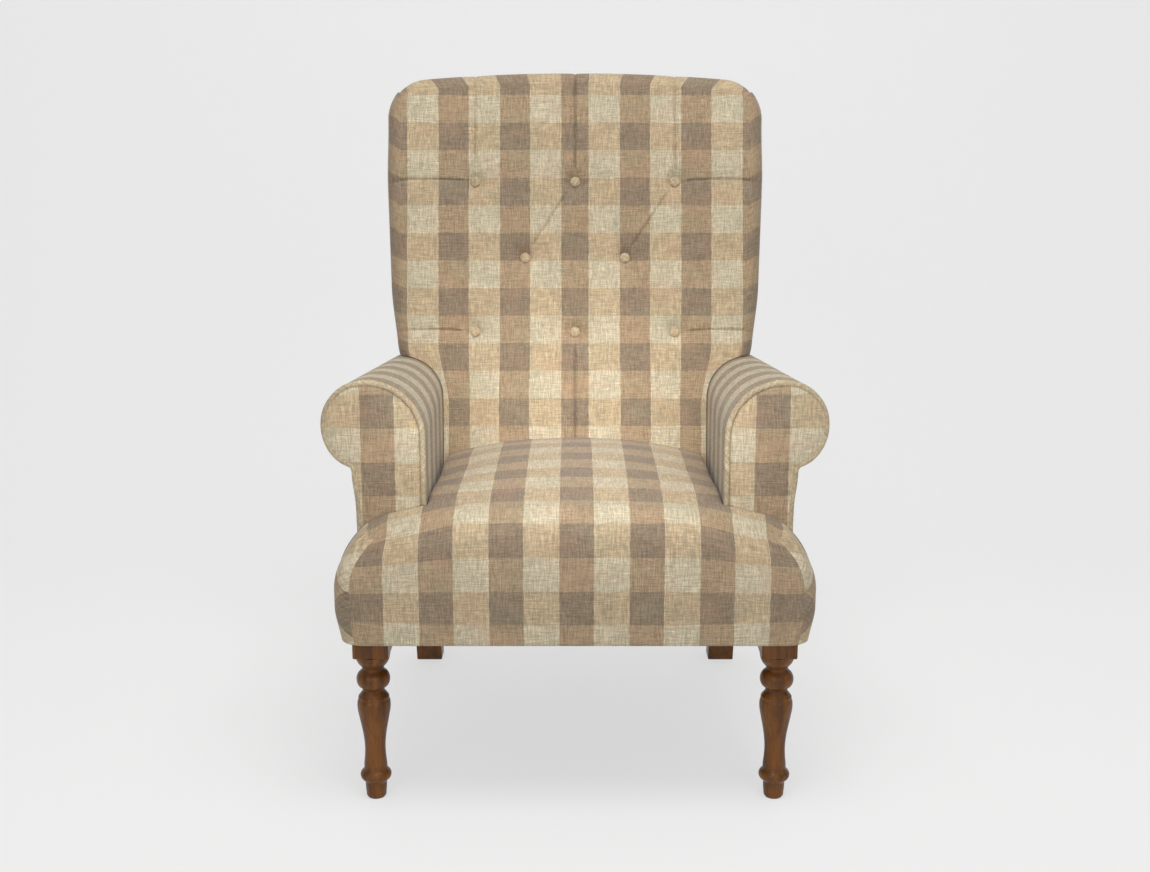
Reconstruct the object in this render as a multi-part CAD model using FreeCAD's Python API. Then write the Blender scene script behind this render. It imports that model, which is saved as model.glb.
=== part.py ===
import FreeCAD, Part
import math
import os

# Fireside chair: a beech frame on two turned front legs and two raked rear legs, webbed and
# stuffed, with rolled arms, a T-shaped domed seat and a leaning back that is tufted with
# eight covered buttons. Millimetres, X across the chair, +Y to its back, +Z up.
# Everything is drawn from the axis line of the front legs. At the end the whole chair is
# moved so that the origin is in the middle of its footprint, on the floor.

V = FreeCAD.Vector

# Fits
SOFT_GAP = 0.3                 # between a soft piece and what it meets
JOINT_GAP = 0.2                # round a tenon in its mortise

# Frame
RAIL_UNDERSIDE = 253.0
RAIL_HEIGHT = 80.0
RAIL_THICKNESS = 26.0
TENON_THICKNESS = 10.0
TENON_SHOULDER = 10.0          # wood above and below a tenon
TENON_LENGTH = 20.0
REAR_TENON_LENGTH = 15.0
BLOCK_HEIGHT = 34.0            # corner blocks
BLOCK_REACH = 62.0

# Front legs: the collar and waist keep their height over the floor, the bead and the vase
# their distance under the square
FRONT_LEG_X = 297.0            # leg axis from the middle of the chair
FRONT_LEG_SQUARE = 52.0
SQUARE_BEVEL = 1.2
TURNING_TOP = 224.0            # where the turning meets the square
NECK_RADIUS = 16.0
NECK_BELOW = 21.5
BEAD_RADIUS = 24.7
BEAD_BELOW = 38.0
BEAD_HALF = 15.0
FILLET_BELOW = 56.0            # the narrow groove under the bead
SHOULDER_RADIUS = 22.2         # the rounded shoulder between groove and vase
SHOULDER_BELOW = 65.0
CREASE_BELOW = 68.0
VASE_RADIUS = 24.5
VASE_BELOW = 79.0
WAIST_RADIUS = 15.3
WAIST_Z = 72.0
COLLAR_RADIUS = 23.0
COLLAR_Z = 35.5
COLLAR_HALF = 8.0
FOOT_RADIUS = 14.6
FOOT_TIP = 12.5
FOOT_TIP_HEIGHT = 4.0

# Rear legs, which run up as the posts of the back
REAR_LEG_X = 272.0
REAR_LEG_WIDTH = 46.0
POST_DEPTH = 42.0
REAR_FOOT_BEHIND = 144.0       # front edge of the foot on the floor, from BACK_Y
REAR_FOOT_DEPTH = 43.0
RAKE_START = 262.0             # height at which the leg turns to the rear
RAKE_RADIUS = 90.0
BEND_RADIUS = 160.0
FOOT_BEVEL = 2.0

# Back
BACK_Y = 430.0                 # front of the back at the height where it starts to lean
BACK_Z = 430.0
BACK_LEAN = 12.0               # degrees
BACK_PAD = 57.0                # from the front of the back to its posts
BACK_TOP = 660.0               # along the lean, from BACK_Z to the crown of the top edge
BACK_FOOT = -62.0
BACK_HALF_TOP = 325.0
BACK_HALF_FOOT = 299.0
BACK_CORNER = 66.0
BACK_SHOULDER_DROP = 10.0      # the top edge falls this much to its corners
BACK_CROWN_RADIUS = 2600.0     # of the top edge
BACK_ROLL_DEPTH = 42.0         # the rolled front edge, front to back
BACK_ROLL_INSET = 26.0         # how far it draws the outline in
BACK_ROLL_STEPS = 5
BACK_REAR_INSET = 2.0          # the outline at the rear edge
BACK_FRAME_TOP = 626.0         # top of the posts and the top rail along the lean
TOP_RAIL_HEIGHT = 62.0
LOWER_RAIL_FOOT = 12.0
LOWER_RAIL_HEIGHT = 48.0
PANEL_THICKNESS = 2.6          # covered panels outside the back and the arms

# Tufts: three buttons, two and three, with pleats from each to its neighbours
BUTTON_ROWS = ((467.0, (-172.0, 0.0, 172.0)), (336.0, (-86.0, 86.0)), (208.0, (-172.0, 0.0, 172.0)))
BUTTON_RADIUS = 8.6
BUTTON_HEIGHT = 6.0
BUTTON_CLEAR = 1.0             # between a button and the edge of its seat
BUTTON_BEVEL = 1.0
TUFT_DEPTH = 13.0
TUFT_RADIUS = 52.0
PLEAT_DEPTH = 6.0
PLEAT_HALF = 17.0
FOLD_PROUD = 0.5               # tuft and pleat forms start this far before the front
TWINE_RADIUS = 1.2

# Arms: values at the front and at the back of each arm
ARM_FRONT_Y = 26.3             # front of the piping, just behind the seat's ears
ARM_REAR_BEHIND = 40.0         # where the values at the back hold, from BACK_Y
ARM_INNER = (216.0, 228.0)     # inside face from the middle of the chair
ARM_OUTER = (319.0, 299.5)
ARM_TOP = (626.0, 590.0)
ARM_ROLL = (85.0, 68.0)        # radius from the inside face to the top
ARM_SCROLL = (66.0, 52.0)      # radius of the outward scroll
NOTCH_RADIUS = 8.0             # hollow under the scroll
ARM_PADDING = 14.0
PIPING_RADIUS = 4.5
FACING_FOOT = 336.0
FACING_BEHIND = 1.2            # front of the facing behind the front of the piping
FACING_EDGE = 3.0              # its bevelled edge
STUMP_THICKNESS = 25.0
ARM_BOARD_WIDTH = 78.0
ARM_BOARD_THICKNESS = 22.0
STUFFING_RAIL_HEIGHT = 40.0
STUFFING_RAIL_THICKNESS = 22.0
STUFFING_RAIL_CLEAR = 6.0      # over the hessian, for pulling the covers through

# Seat
SEAT_FRONT = -52.0
SEAT_HALF = 345.0              # widest, across the ears
SEAT_HEM_HALF = 332.0
SEAT_BULGE_RISE = 57.0         # from the hem to the widest level
SEAT_SIDE_RISE = 108.0         # from the hem to where the ear rolls over
SEAT_SIDE_INSET = 10.0         # there the side stands this far inside the widest level
SEAT_SHOULDER_X = 225.0
SEAT_CROWN = 471.0
HEM_Z = 251.0
STUFFING_HALF = 200.0
STUFFING_TOP = 438.0
STUFFING_CHAMFER = 14.0
STUFFING_CLEAR = 8.0           # from its back face to the front of the back
SEAT_ROLL_DEPTH = 50.0         # the rolled front edge, front to back
SEAT_ROLL_SIDE = 34.0          # how far it draws the sides in
SEAT_ROLL_CROWN = 47.0         # and the crown down
SEAT_ROLL_STEPS = 5
SEAT_RUN_IN = 28.0             # the seat's form runs in under the back this far
# How the seat's form changes behind the roll: the share of its depth there, how far the
# crown drops, how far the shoulders drop below it.
SEAT_BODY = ((0.0, 15.0, 18.0), (0.22, 4.0, 26.0), (0.46, 0.0, 40.0), (0.74, 6.0, 34.0),
             (1.0, 22.0, 30.0))

# Round forms are drawn with flats, as many as keep them within a fifth of a millimetre or so
ARM_FLATS = 8                  # in a quarter turn of an arm
SEAT_FLATS = 5                 # in each bend of a side of the seat
CROWN_FLATS = 12               # across the seat's crown
CORNER_FLATS = 6               # in a corner of the back
TUFT_FLATS = 3                 # from a tuft's floor to its rim
LEG_FLATS = 4                  # in each curve of a turned leg
LEG_SIDES = 36                 # round a turned leg
BUTTON_FLATS = 2               # from a button's rim to its top
TUFT_SIDES = 20
BUTTON_SIDES = 16
PIPING_SIDES = 6
TWINE_SIDES = 6

# Webbing and hessian
WEB_WIDTH = 50.0
WEB_THICKNESS = 1.6
WEB_PITCH = 84.0
WEB_GAP = 0.3
HESSIAN_THICKNESS = 0.8
WEB_STEP = 2.0                 # a strap levels out this far beside the strap that it crosses
SEAT_LONG_COUNT = 5            # straps from front to back
SEAT_CROSS_COUNT = 5
BACK_UP_COUNT = 5
BACK_CROSS_COUNT = 5
WEB_END = 4.0                  # straps end this far inside the edge of their rail
BACK_WEB_END = 6.0
HESSIAN_END = 6.0
HESSIAN_CLEAR = 2.0
DUST_COVER_THICKNESS = 1.2
DUST_COVER_INSET = 3.0

# Worked out from the sizes above
RAIL_TOP = RAIL_UNDERSIDE + RAIL_HEIGHT
LEAN = math.radians(BACK_LEAN)
REAR_FOOT_Y = BACK_Y + REAR_FOOT_BEHIND
ARM_REAR_Y = BACK_Y + ARM_REAR_BEHIND
POST_Y = BACK_Y + BACK_PAD / math.cos(LEAN)
POST_INNER = REAR_LEG_X - REAR_LEG_WIDTH / 2
POST_OUTER = REAR_LEG_X + REAR_LEG_WIDTH / 2
LEG_HALF = FRONT_LEG_SQUARE / 2
WEB_LIFT = WEB_THICKNESS + WEB_GAP
WEB_STACK = WEB_THICKNESS + WEB_LIFT
LAYERS = WEB_STACK + WEB_GAP + HESSIAN_THICKNESS
TUFT_FLOOR = TUFT_DEPTH - FOLD_PROUD
COVER_Y = ARM_FRONT_Y + 2 * PIPING_RADIUS + SOFT_GAP
STUMP_BACK_Y = COVER_Y + STUMP_THICKNESS
FAR = 900.0                    # beyond every face of the chair


def box(x0, x1, y0, y1, z0, z1):
    return Part.makeBox(x1 - x0, y1 - y0, z1 - z0, V(x0, y0, z0))


def line(a, b):
    return Part.LineSegment(a, b).toShape()


def arc(a, middle, b):
    return Part.Arc(a, middle, b).toShape()


def flats(edge, count):
    """An arc's points at even steps, one for each end of its flats."""
    return edge.discretize(count + 1)


def closed(points):
    return Part.makePolygon(points + [points[0]])


def ring(count, radius, centre, across, up):
    """The corners of a regular polygon as wide over its flats as a circle of that radius."""
    corner = radius / math.cos(math.pi / count)
    turns = [2 * math.pi * (i + 0.5) / count for i in range(count)]
    return [centre + across * (corner * math.cos(t)) + up * (corner * math.sin(t)) for t in turns]


def ringed(rings):
    """A solid with flat sides through rings of corners that all lie about one axis."""
    faces = [Part.Face(closed(rings[0])), Part.Face(closed(rings[-1]))]
    for lower, upper in zip(rings, rings[1:]):
        for i in range(len(lower)):
            faces.append(Part.Face(closed([lower[i - 1], lower[i], upper[i], upper[i - 1]])))
    solid = Part.Solid(Part.makeShell(faces))
    if solid.Volume < 0:
        solid.reverse()
    return solid


def prism(wire, along):
    return Part.Face(wire).extrude(along)


def rounded_wire(corners, place):
    """A closed wire of straight sides and tangent arcs through (a, b, radius) corners."""
    runs = []
    for i, (a, b, radius) in enumerate(corners):
        before = V(corners[i - 1][0] - a, corners[i - 1][1] - b, 0).normalize()
        after_corner = corners[(i + 1) % len(corners)]
        after = V(after_corner[0] - a, after_corner[1] - b, 0).normalize()
        half = before.getAngle(after) / 2
        start = V(a, b, 0)
        end = V(a, b, 0)
        middle = None
        if radius > 0:
            cut = radius / math.tan(half)
            start = V(a, b, 0) + before * cut
            end = V(a, b, 0) + after * cut
            inward = (before + after).normalize()
            middle = V(a, b, 0) + inward * (radius / math.sin(half) - radius)
        runs.append((start, middle, end))
    edges = []
    for i, (start, middle, end) in enumerate(runs):
        if middle is not None:
            edges.append(arc(place(start.x, start.y), place(middle.x, middle.y), place(end.x, end.y)))
        following = runs[(i + 1) % len(runs)][0]
        edges.append(line(place(end.x, end.y), place(following.x, following.y)))
    return Part.Wire(edges)


def lean_back(shape):
    """Take a shape drawn on an upright back, front at Y 0, to its place on the leaning back."""
    leaning = shape.copy()
    leaning.rotate(V(0, 0, 0), V(1, 0, 0), -BACK_LEAN)
    leaning.translate(V(0, BACK_Y, BACK_Z))
    return leaning


def mirrored(shape):
    return shape.mirror(V(0, 0, 0), V(1, 0, 0))


def both(shape):
    return [shape, mirrored(shape)]


def behind_posts(offset):
    """All space behind the front of the posts, moved to the rear by an offset."""
    bend = POST_Y + offset
    lean_run = (FAR * 2 - BACK_Z) * math.tan(LEAN)
    corners = [(bend, -FAR, 0), (FAR * 3, -FAR, 0), (FAR * 3, FAR * 2, 0),
               (bend + lean_run, FAR * 2, 0), (bend, BACK_Z, BEND_RADIUS)]
    wire = rounded_wire(corners, lambda y, z: V(-FAR, y, z))
    return prism(wire, V(2 * FAR, 0, 0))


# Front legs: a turned leg whose square runs up to the top of the rails

def turned_profile():
    """The half outline of the turning, from the floor up: foot, collar, waist, vase, shoulder,
    bead, neck and the flare that meets the square."""
    points = [V(FOOT_TIP, 0, 0), V(FOOT_RADIUS, 0, FOOT_TIP_HEIGHT)]

    def below(distance):
        return TURNING_TOP - distance

    def bend(mid_radius, mid_height, radius, height):
        curve = arc(points[-1], V(mid_radius, 0, mid_height), V(radius, 0, height))
        points.extend(flats(curve, LEG_FLATS)[1:])

    def step(radius, height):
        points.append(V(radius, 0, height))

    ankle = FOOT_RADIUS + 0.1 * FOOT_TIP
    step(ankle, COLLAR_Z - COLLAR_HALF)
    bend(COLLAR_RADIUS, COLLAR_Z, ankle + 1.8, COLLAR_Z + COLLAR_HALF)
    knee = WAIST_Z + 0.42 * (below(VASE_BELOW) - WAIST_Z)
    knee_radius = WAIST_RADIUS + 0.27 * (VASE_RADIUS - WAIST_RADIUS)
    bend(WAIST_RADIUS, WAIST_Z, knee_radius, knee)
    swell = (knee + below(VASE_BELOW)) / 2
    bend(knee_radius + 0.67 * (VASE_RADIUS - knee_radius), swell, VASE_RADIUS, below(VASE_BELOW))
    step(SHOULDER_RADIUS + 1.4, below(CREASE_BELOW + 1))
    step(SHOULDER_RADIUS + 0.4, below(CREASE_BELOW))
    bend(SHOULDER_RADIUS, below(SHOULDER_BELOW), NECK_RADIUS, below(FILLET_BELOW))
    step(NECK_RADIUS, below(BEAD_BELOW + BEAD_HALF))
    bend(BEAD_RADIUS, below(BEAD_BELOW), NECK_RADIUS, below(BEAD_BELOW - BEAD_HALF))
    step(NECK_RADIUS, below(NECK_BELOW))
    bend(NECK_RADIUS + 0.55 * (LEG_HALF - NECK_RADIUS), below(NECK_BELOW * 0.6), LEG_HALF, TURNING_TOP)
    return points


def front_leg():
    turning = ringed([ring(LEG_SIDES, p.x, V(0, 0, p.z), V(1, 0, 0), V(0, 1, 0)) for p in turned_profile()])
    square = box(-LEG_HALF, LEG_HALF, -LEG_HALF, LEG_HALF, TURNING_TOP, RAIL_TOP)
    foot_edges = [e for e in square.Edges if abs(e.CenterOfMass.z - TURNING_TOP) < 0.1]
    square = square.makeChamfer(SQUARE_BEVEL, foot_edges)
    leg = turning.fuse(square).removeSplitter()
    leg.translate(V(FRONT_LEG_X, 0, 0))
    return leg


def rear_leg():
    top_z = BACK_Z + BACK_TOP
    lean_run = BACK_TOP * math.tan(LEAN)
    corners = [(REAR_FOOT_Y, 0, 0),
               (REAR_FOOT_Y + REAR_FOOT_DEPTH, 0, 0),
               (POST_Y + POST_DEPTH, RAKE_START, RAKE_RADIUS),
               (POST_Y + POST_DEPTH, BACK_Z, BEND_RADIUS),
               (POST_Y + POST_DEPTH + lean_run, top_z, 0),
               (POST_Y + lean_run, top_z, 0),
               (POST_Y, BACK_Z, BEND_RADIUS),
               (POST_Y, RAKE_START, RAKE_RADIUS)]
    wire = rounded_wire(corners, lambda y, z: V(POST_INNER, y, z))
    leg = prism(wire, V(REAR_LEG_WIDTH, 0, 0))
    leg = leg.cut(lean_back(box(-FAR, FAR, -FAR, FAR, BACK_FRAME_TOP, FAR * 2)))
    foot_edges = [e for e in leg.Edges if e.BoundBox.ZMax < 0.1]
    return leg.makeChamfer(FOOT_BEVEL, foot_edges)


# Arms: every section comes from the same five sizes, which change evenly from front to rear

def at(sizes, y):
    share = (y - ARM_FRONT_Y) / (ARM_REAR_Y - ARM_FRONT_Y)
    return sizes[0] + (sizes[1] - sizes[0]) * share


def notch_height(y):
    reach = at(ARM_SCROLL, y) + NOTCH_RADIUS
    axis = at(ARM_INNER, y) + at(ARM_ROLL, y)
    aside = at(ARM_OUTER, y) + NOTCH_RADIUS - axis
    return at(ARM_TOP, y) - at(ARM_SCROLL, y) - math.sqrt(reach ** 2 - aside ** 2)


def arm_edges(y, inset, foot):
    """The right arm's outline at y: up the inside, over the roll, round the scroll into the
    notch and down the outside."""
    inner = at(ARM_INNER, y) + inset
    outer = at(ARM_OUTER, y) - inset
    top = at(ARM_TOP, y) - inset
    roll = at(ARM_ROLL, y) - inset
    scroll = at(ARM_SCROLL, y) - inset
    notch = NOTCH_RADIUS + inset
    axis = inner + roll
    hollow = V(outer + notch, y, notch_height(y))
    centre = V(axis, y, top - scroll)
    meet = centre + (hollow - centre) * (scroll / (scroll + notch))
    low = math.atan2(meet.z - centre.z, meet.x - axis)

    def round_point(middle, radius, angle):
        return V(middle.x + radius * math.cos(angle), y, middle.z + radius * math.sin(angle))

    roll_centre = V(axis, y, top - roll)
    crown = V(axis, y, top)
    shoulder = V(inner, y, top - roll)
    under = V(outer, y, hollow.z)
    return [line(V(inner, y, foot), shoulder),
            arc(shoulder, round_point(roll_centre, roll, math.radians(135)), crown),
            arc(crown, round_point(centre, scroll, (math.pi / 2 + low) / 2), meet),
            arc(meet, round_point(hollow, notch, math.pi + low / 2), under),
            line(under, V(outer, y, foot))]


def arm_wire(y, inset, foot):
    """The same outline with flats for its bends, closed across the foot."""
    up, roll, scroll, hollow, down = arm_edges(y, inset, foot)
    points = [up.Vertexes[0].Point] + flats(roll, ARM_FLATS) + flats(scroll, ARM_FLATS + 3)[1:]
    points += flats(hollow, 3)[1:] + [down.Vertexes[-1].Point]
    return closed(points)


def arm_loft(y0, y1, inset, foot):
    return Part.makeLoft([arm_wire(y0, inset, foot), arm_wire(y1, inset, foot)], True, True)


def arm_space(gap):
    """The room that the right arm takes from the seat and the back, with the space beside it."""
    arm = arm_loft(COVER_Y, FAR, -gap, -FAR)
    beside = prism(Part.makePolygon([V(at(ARM_INNER, y) - gap + shift, y, -FAR)
                                     for y, shift in ((COVER_Y, 0), (COVER_Y, FAR), (FAR, FAR), (FAR, 0),
                                                      (COVER_Y, 0))]),
                   V(0, 0, FAR + at(ARM_TOP, FAR) - at(ARM_ROLL, FAR)))
    return arm.fuse(beside)


def side_rail_faces(y):
    outer = at(ARM_OUTER, y) - PANEL_THICKNESS - SOFT_GAP
    return outer - RAIL_THICKNESS, outer


def side_rail():
    in_front, out_front = side_rail_faces(LEG_HALF)
    in_rear, out_rear = side_rail_faces(POST_Y)
    plan = Part.makePolygon([V(in_front, LEG_HALF, RAIL_UNDERSIDE), V(out_front, LEG_HALF, RAIL_UNDERSIDE),
                             V(out_rear, POST_Y, RAIL_UNDERSIDE), V(in_rear, POST_Y, RAIL_UNDERSIDE),
                             V(in_front, LEG_HALF, RAIL_UNDERSIDE)])
    rail = prism(plan, V(0, 0, RAIL_HEIGHT))
    return rail.multiFuse([side_tenon_front(0), side_tenon_rear(0)]).removeSplitter()


def tenon(x0, x1, y0, y1, gap):
    """A tenon, or with a gap its mortise: as long as stated, with shoulders above and below."""
    return box(x0 - gap, x1 + gap, y0 - gap, y1 + gap,
               RAIL_UNDERSIDE + TENON_SHOULDER - gap, RAIL_TOP - TENON_SHOULDER + gap)


def side_tenon_front(gap):
    inner, outer = side_rail_faces(LEG_HALF)
    centre = (inner + outer) / 2
    return tenon(centre - TENON_THICKNESS / 2, centre + TENON_THICKNESS / 2,
                 LEG_HALF - TENON_LENGTH, LEG_HALF, gap)


def side_tenon_rear(gap):
    inner, outer = side_rail_faces(POST_Y)
    centre = (inner + outer) / 2
    return tenon(centre - TENON_THICKNESS / 2, centre + TENON_THICKNESS / 2,
                 POST_Y, POST_Y + TENON_LENGTH, gap)


def front_tenon(gap):
    centre = -LEG_HALF + RAIL_THICKNESS / 2
    inner = FRONT_LEG_X - LEG_HALF
    return tenon(inner, inner + TENON_LENGTH, centre - TENON_THICKNESS / 2,
                 centre + TENON_THICKNESS / 2, gap)


def rear_tenon(gap):
    centre = POST_Y + RAIL_THICKNESS / 2
    return tenon(POST_INNER, POST_INNER + REAR_TENON_LENGTH, centre - TENON_THICKNESS / 2,
                 centre + TENON_THICKNESS / 2, gap)


def cross_rail(half, y0, tenon_shape):
    rail = box(-half, half, y0, y0 + RAIL_THICKNESS, RAIL_UNDERSIDE, RAIL_TOP)
    return rail.multiFuse(both(tenon_shape)).removeSplitter()


def back_rail(foot, height, gap=0.0):
    """A rail between the posts of the back, on the upright back, with its two tenons."""
    half_tenon = TENON_THICKNESS / 2
    centre = BACK_PAD + RAIL_THICKNESS / 2
    tongue = box(POST_INNER - gap, POST_INNER + TENON_LENGTH + gap, centre - half_tenon - gap,
                 centre + half_tenon + gap, foot + TENON_SHOULDER - gap,
                 foot + height - TENON_SHOULDER + gap)
    if gap:
        return tongue
    rail = box(-POST_INNER, POST_INNER, BACK_PAD, BACK_PAD + RAIL_THICKNESS, foot, foot + height)
    return rail.multiFuse(both(tongue)).removeSplitter()


TOP_RAIL_FOOT = BACK_FRAME_TOP - TOP_RAIL_HEIGHT


def corner_blocks():
    """Four glued blocks in the corners of the seat frame, fitted round the legs."""
    foot = RAIL_TOP - BLOCK_HEIGHT - TENON_SHOULDER
    leg_inner = FRONT_LEG_X - LEG_HALF
    rail_back = -LEG_HALF + RAIL_THICKNESS
    front_end = LEG_HALF + BLOCK_REACH
    front = Part.makePolygon([V(leg_inner - BLOCK_REACH, rail_back, foot), V(leg_inner, rail_back, foot),
                              V(leg_inner, LEG_HALF, foot),
                              V(side_rail_faces(LEG_HALF)[0], LEG_HALF, foot),
                              V(side_rail_faces(front_end)[0], front_end, foot),
                              V(leg_inner - BLOCK_REACH, rail_back, foot)])
    rear_end = POST_Y - BLOCK_REACH
    corner = side_rail_faces(POST_Y)[0]
    rear = Part.makePolygon([V(corner, POST_Y, foot), V(corner - BLOCK_REACH, POST_Y, foot),
                             V(side_rail_faces(rear_end)[0], rear_end, foot), V(corner, POST_Y, foot)])
    up = V(0, 0, BLOCK_HEIGHT)
    return both(prism(front, up)) + both(prism(rear, up))


# Webbing: straps that pass over and under each other between two levels

def strap(start, end, crossings, high_first, width, place, along):
    """One strap from start to end, lying low on the rails and rising over every other strap
    that it crosses. place turns a distance and a height into a point, along is its width."""
    reach = WEB_WIDTH / 2 + WEB_STEP
    path = [(start, 0.0)]
    for i, crossing in enumerate(crossings):
        level = WEB_LIFT if (i + high_first) % 2 else 0.0
        path.append((crossing - reach, level))
        path.append((crossing + reach, level))
    path.append((end, 0.0))
    under = [place(s, level) for s, level in path]
    over = [place(s, level + WEB_THICKNESS) for s, level in reversed(path)]
    return prism(Part.makePolygon(under + over + [under[0]]), along * width)


def spread(count, pitch, middle):
    return [middle + (i - (count - 1) / 2) * pitch for i in range(count)]


def seat_webbing():
    long_at = spread(SEAT_LONG_COUNT, WEB_PITCH, 0.0)
    cross_middle = (STUMP_BACK_Y + POST_Y) / 2
    cross_at = spread(SEAT_CROSS_COUNT, WEB_PITCH, cross_middle)
    half = WEB_WIDTH / 2
    front_end = -LEG_HALF + WEB_END
    rear_end = POST_Y + RAIL_THICKNESS - WEB_END
    straps = []
    for i, x in enumerate(long_at):
        straps.append(strap(front_end, rear_end, cross_at, i % 2, WEB_WIDTH,
                            lambda s, h: V(x - half, s, RAIL_TOP + h), V(1, 0, 0)))
    for j, y in enumerate(cross_at):
        end = side_rail_faces(y + half)[1] - WEB_END
        straps.append(strap(-end, end, long_at, 1 - j % 2, WEB_WIDTH,
                            lambda s, h: V(s, y - half, RAIL_TOP + h), V(0, 1, 0)))
    return straps


def back_webbing():
    up_at = spread(BACK_UP_COUNT, WEB_PITCH, 0.0)
    foot = LOWER_RAIL_FOOT + WEB_END
    top = BACK_FRAME_TOP - WEB_END
    arm_height = (at(ARM_TOP, POST_Y) - BACK_Z) / math.cos(LEAN)
    cross_at = spread(BACK_CROSS_COUNT, WEB_PITCH, (arm_height + TOP_RAIL_FOOT) / 2)
    half = WEB_WIDTH / 2
    side = POST_OUTER - BACK_WEB_END
    straps = []
    for i, x in enumerate(up_at):
        straps.append(strap(foot, top, cross_at, i % 2, WEB_WIDTH,
                            lambda s, h: V(x - half, BACK_PAD - h, s), V(1, 0, 0)))
    for j, z in enumerate(cross_at):
        straps.append(strap(-side, side, up_at, 1 - j % 2, WEB_WIDTH,
                            lambda s, h: V(s, BACK_PAD - h, z - half), V(0, 0, 1)))
    return [lean_back(s) for s in straps]


def seat_hessian():
    base = RAIL_TOP + WEB_STACK + WEB_GAP
    half = at(ARM_INNER, STUMP_BACK_Y) + ARM_PADDING
    return box(-half, half, -LEG_HALF + HESSIAN_END, POST_Y - HESSIAN_CLEAR, base, base + HESSIAN_THICKNESS)


def back_hessian():
    face = BACK_PAD - WEB_STACK - WEB_GAP
    half = POST_OUTER - BACK_WEB_END - HESSIAN_CLEAR
    sheet = box(-half, half, face - HESSIAN_THICKNESS, face,
                LOWER_RAIL_FOOT + HESSIAN_CLEAR, BACK_FRAME_TOP - HESSIAN_CLEAR)
    return lean_back(sheet).cut(arm_space(0)).cut(mirrored(arm_space(0)))


# Seat: a firm stuffing block under a domed cover with its soft top layer

def seat_section(y, drawn_in, crown_drop, shoulder_drop):
    """A closed section across the seat: hem, bulging sides, rolled shoulders and crown."""
    crown = SEAT_CROWN - crown_drop
    half = SEAT_HALF - drawn_in
    hem = SEAT_HEM_HALF - drawn_in
    side = half - SEAT_SIDE_INSET
    shoulder = SEAT_SHOULDER_X - drawn_in * 0.4
    shoulder_z = crown - shoulder_drop
    side_z = HEM_Z + SEAT_SIDE_RISE - crown_drop * 0.5
    bulge_z = HEM_Z + SEAT_BULGE_RISE
    roll = V(side - (side - shoulder) * 0.30, y, side_z + (shoulder_z - side_z) * 0.62)
    side_point = V(side, y, side_z)
    shoulder_point = V(shoulder, y, shoulder_z)
    bulging = arc(V(hem, y, HEM_Z), V(half, y, bulge_z), side_point)
    rolling = arc(side_point, roll, shoulder_point)
    crown_arc = arc(shoulder_point, V(0, y, crown), V(-shoulder, y, shoulder_z))
    right = flats(bulging, SEAT_FLATS) + flats(rolling, SEAT_FLATS)[1:]
    left = [V(-p.x, p.y, p.z) for p in reversed(right)]
    return closed(right + flats(crown_arc, CROWN_FLATS)[1:-1] + left)


def seat_dome():
    """The rolled front edge, a quarter ellipse from front to back, and the domed body behind it."""
    roll_crown, roll_shoulder = SEAT_BODY[0][1:]
    roll = []
    for step in range(SEAT_ROLL_STEPS):
        turn = math.pi / 2 * step / (SEAT_ROLL_STEPS - 1)
        drawn = 1 - math.sin(turn)
        roll.append(seat_section(SEAT_FRONT + SEAT_ROLL_DEPTH * (1 - math.cos(turn)), SEAT_ROLL_SIDE * drawn,
                                 roll_crown + SEAT_ROLL_CROWN * drawn, roll_shoulder))
    roll_back = SEAT_FRONT + SEAT_ROLL_DEPTH
    run = BACK_Y + SEAT_RUN_IN - roll_back
    body = [seat_section(roll_back + run * share, 0, crown_drop, shoulder_drop)
            for share, crown_drop, shoulder_drop in SEAT_BODY[1:]]
    return Part.makeLoft(roll + body, True, True)


def stuffing_block(gap):
    foot = RAIL_TOP + LAYERS
    front = -LEG_HALF + RAIL_THICKNESS - gap
    rear = BACK_Y - 2 * STUFFING_CLEAR + gap
    half = STUFFING_HALF + gap
    top = STUFFING_TOP + gap
    chamfer = STUFFING_CHAMFER
    outline = [(-half, foot - gap), (half, foot - gap), (half, top - chamfer), (half - chamfer, top),
               (-half + chamfer, top), (-half, top - chamfer)]
    points = [V(x, front, z) for x, z in outline]
    block = prism(Part.makePolygon(points + [points[0]]), V(0, rear - front, 0))
    behind = lean_back(box(-FAR, FAR, gap - STUFFING_CLEAR, FAR, -FAR, FAR))
    return block.cut(behind)


def seat_cover(dome):
    frame_gap = SOFT_GAP
    floor = RAIL_TOP + LAYERS + SOFT_GAP
    frame_room = box(-FRONT_LEG_X - LEG_HALF - frame_gap, FRONT_LEG_X + LEG_HALF + frame_gap,
                     -LEG_HALF - frame_gap, FAR, -FAR, floor)
    beside_arm = Part.makePolygon([V(at(ARM_INNER, y) - SOFT_GAP + shift, y, -FAR)
                                   for y, shift in ((LEG_HALF, 0), (LEG_HALF, FAR), (FAR, FAR), (FAR, 0),
                                                    (LEG_HALF, 0))])
    arms = both(prism(beside_arm, V(0, 0, 2 * FAR)))
    back = lean_back(box(-FAR, FAR, -SOFT_GAP, FAR, -FAR, FAR))
    return dome.cut(frame_room).cut(arms[0]).cut(arms[1]).cut(stuffing_block(SOFT_GAP)).cut(back)


# Back: one sewn pad of cover and filling, drawn in by tufts and pleats

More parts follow.
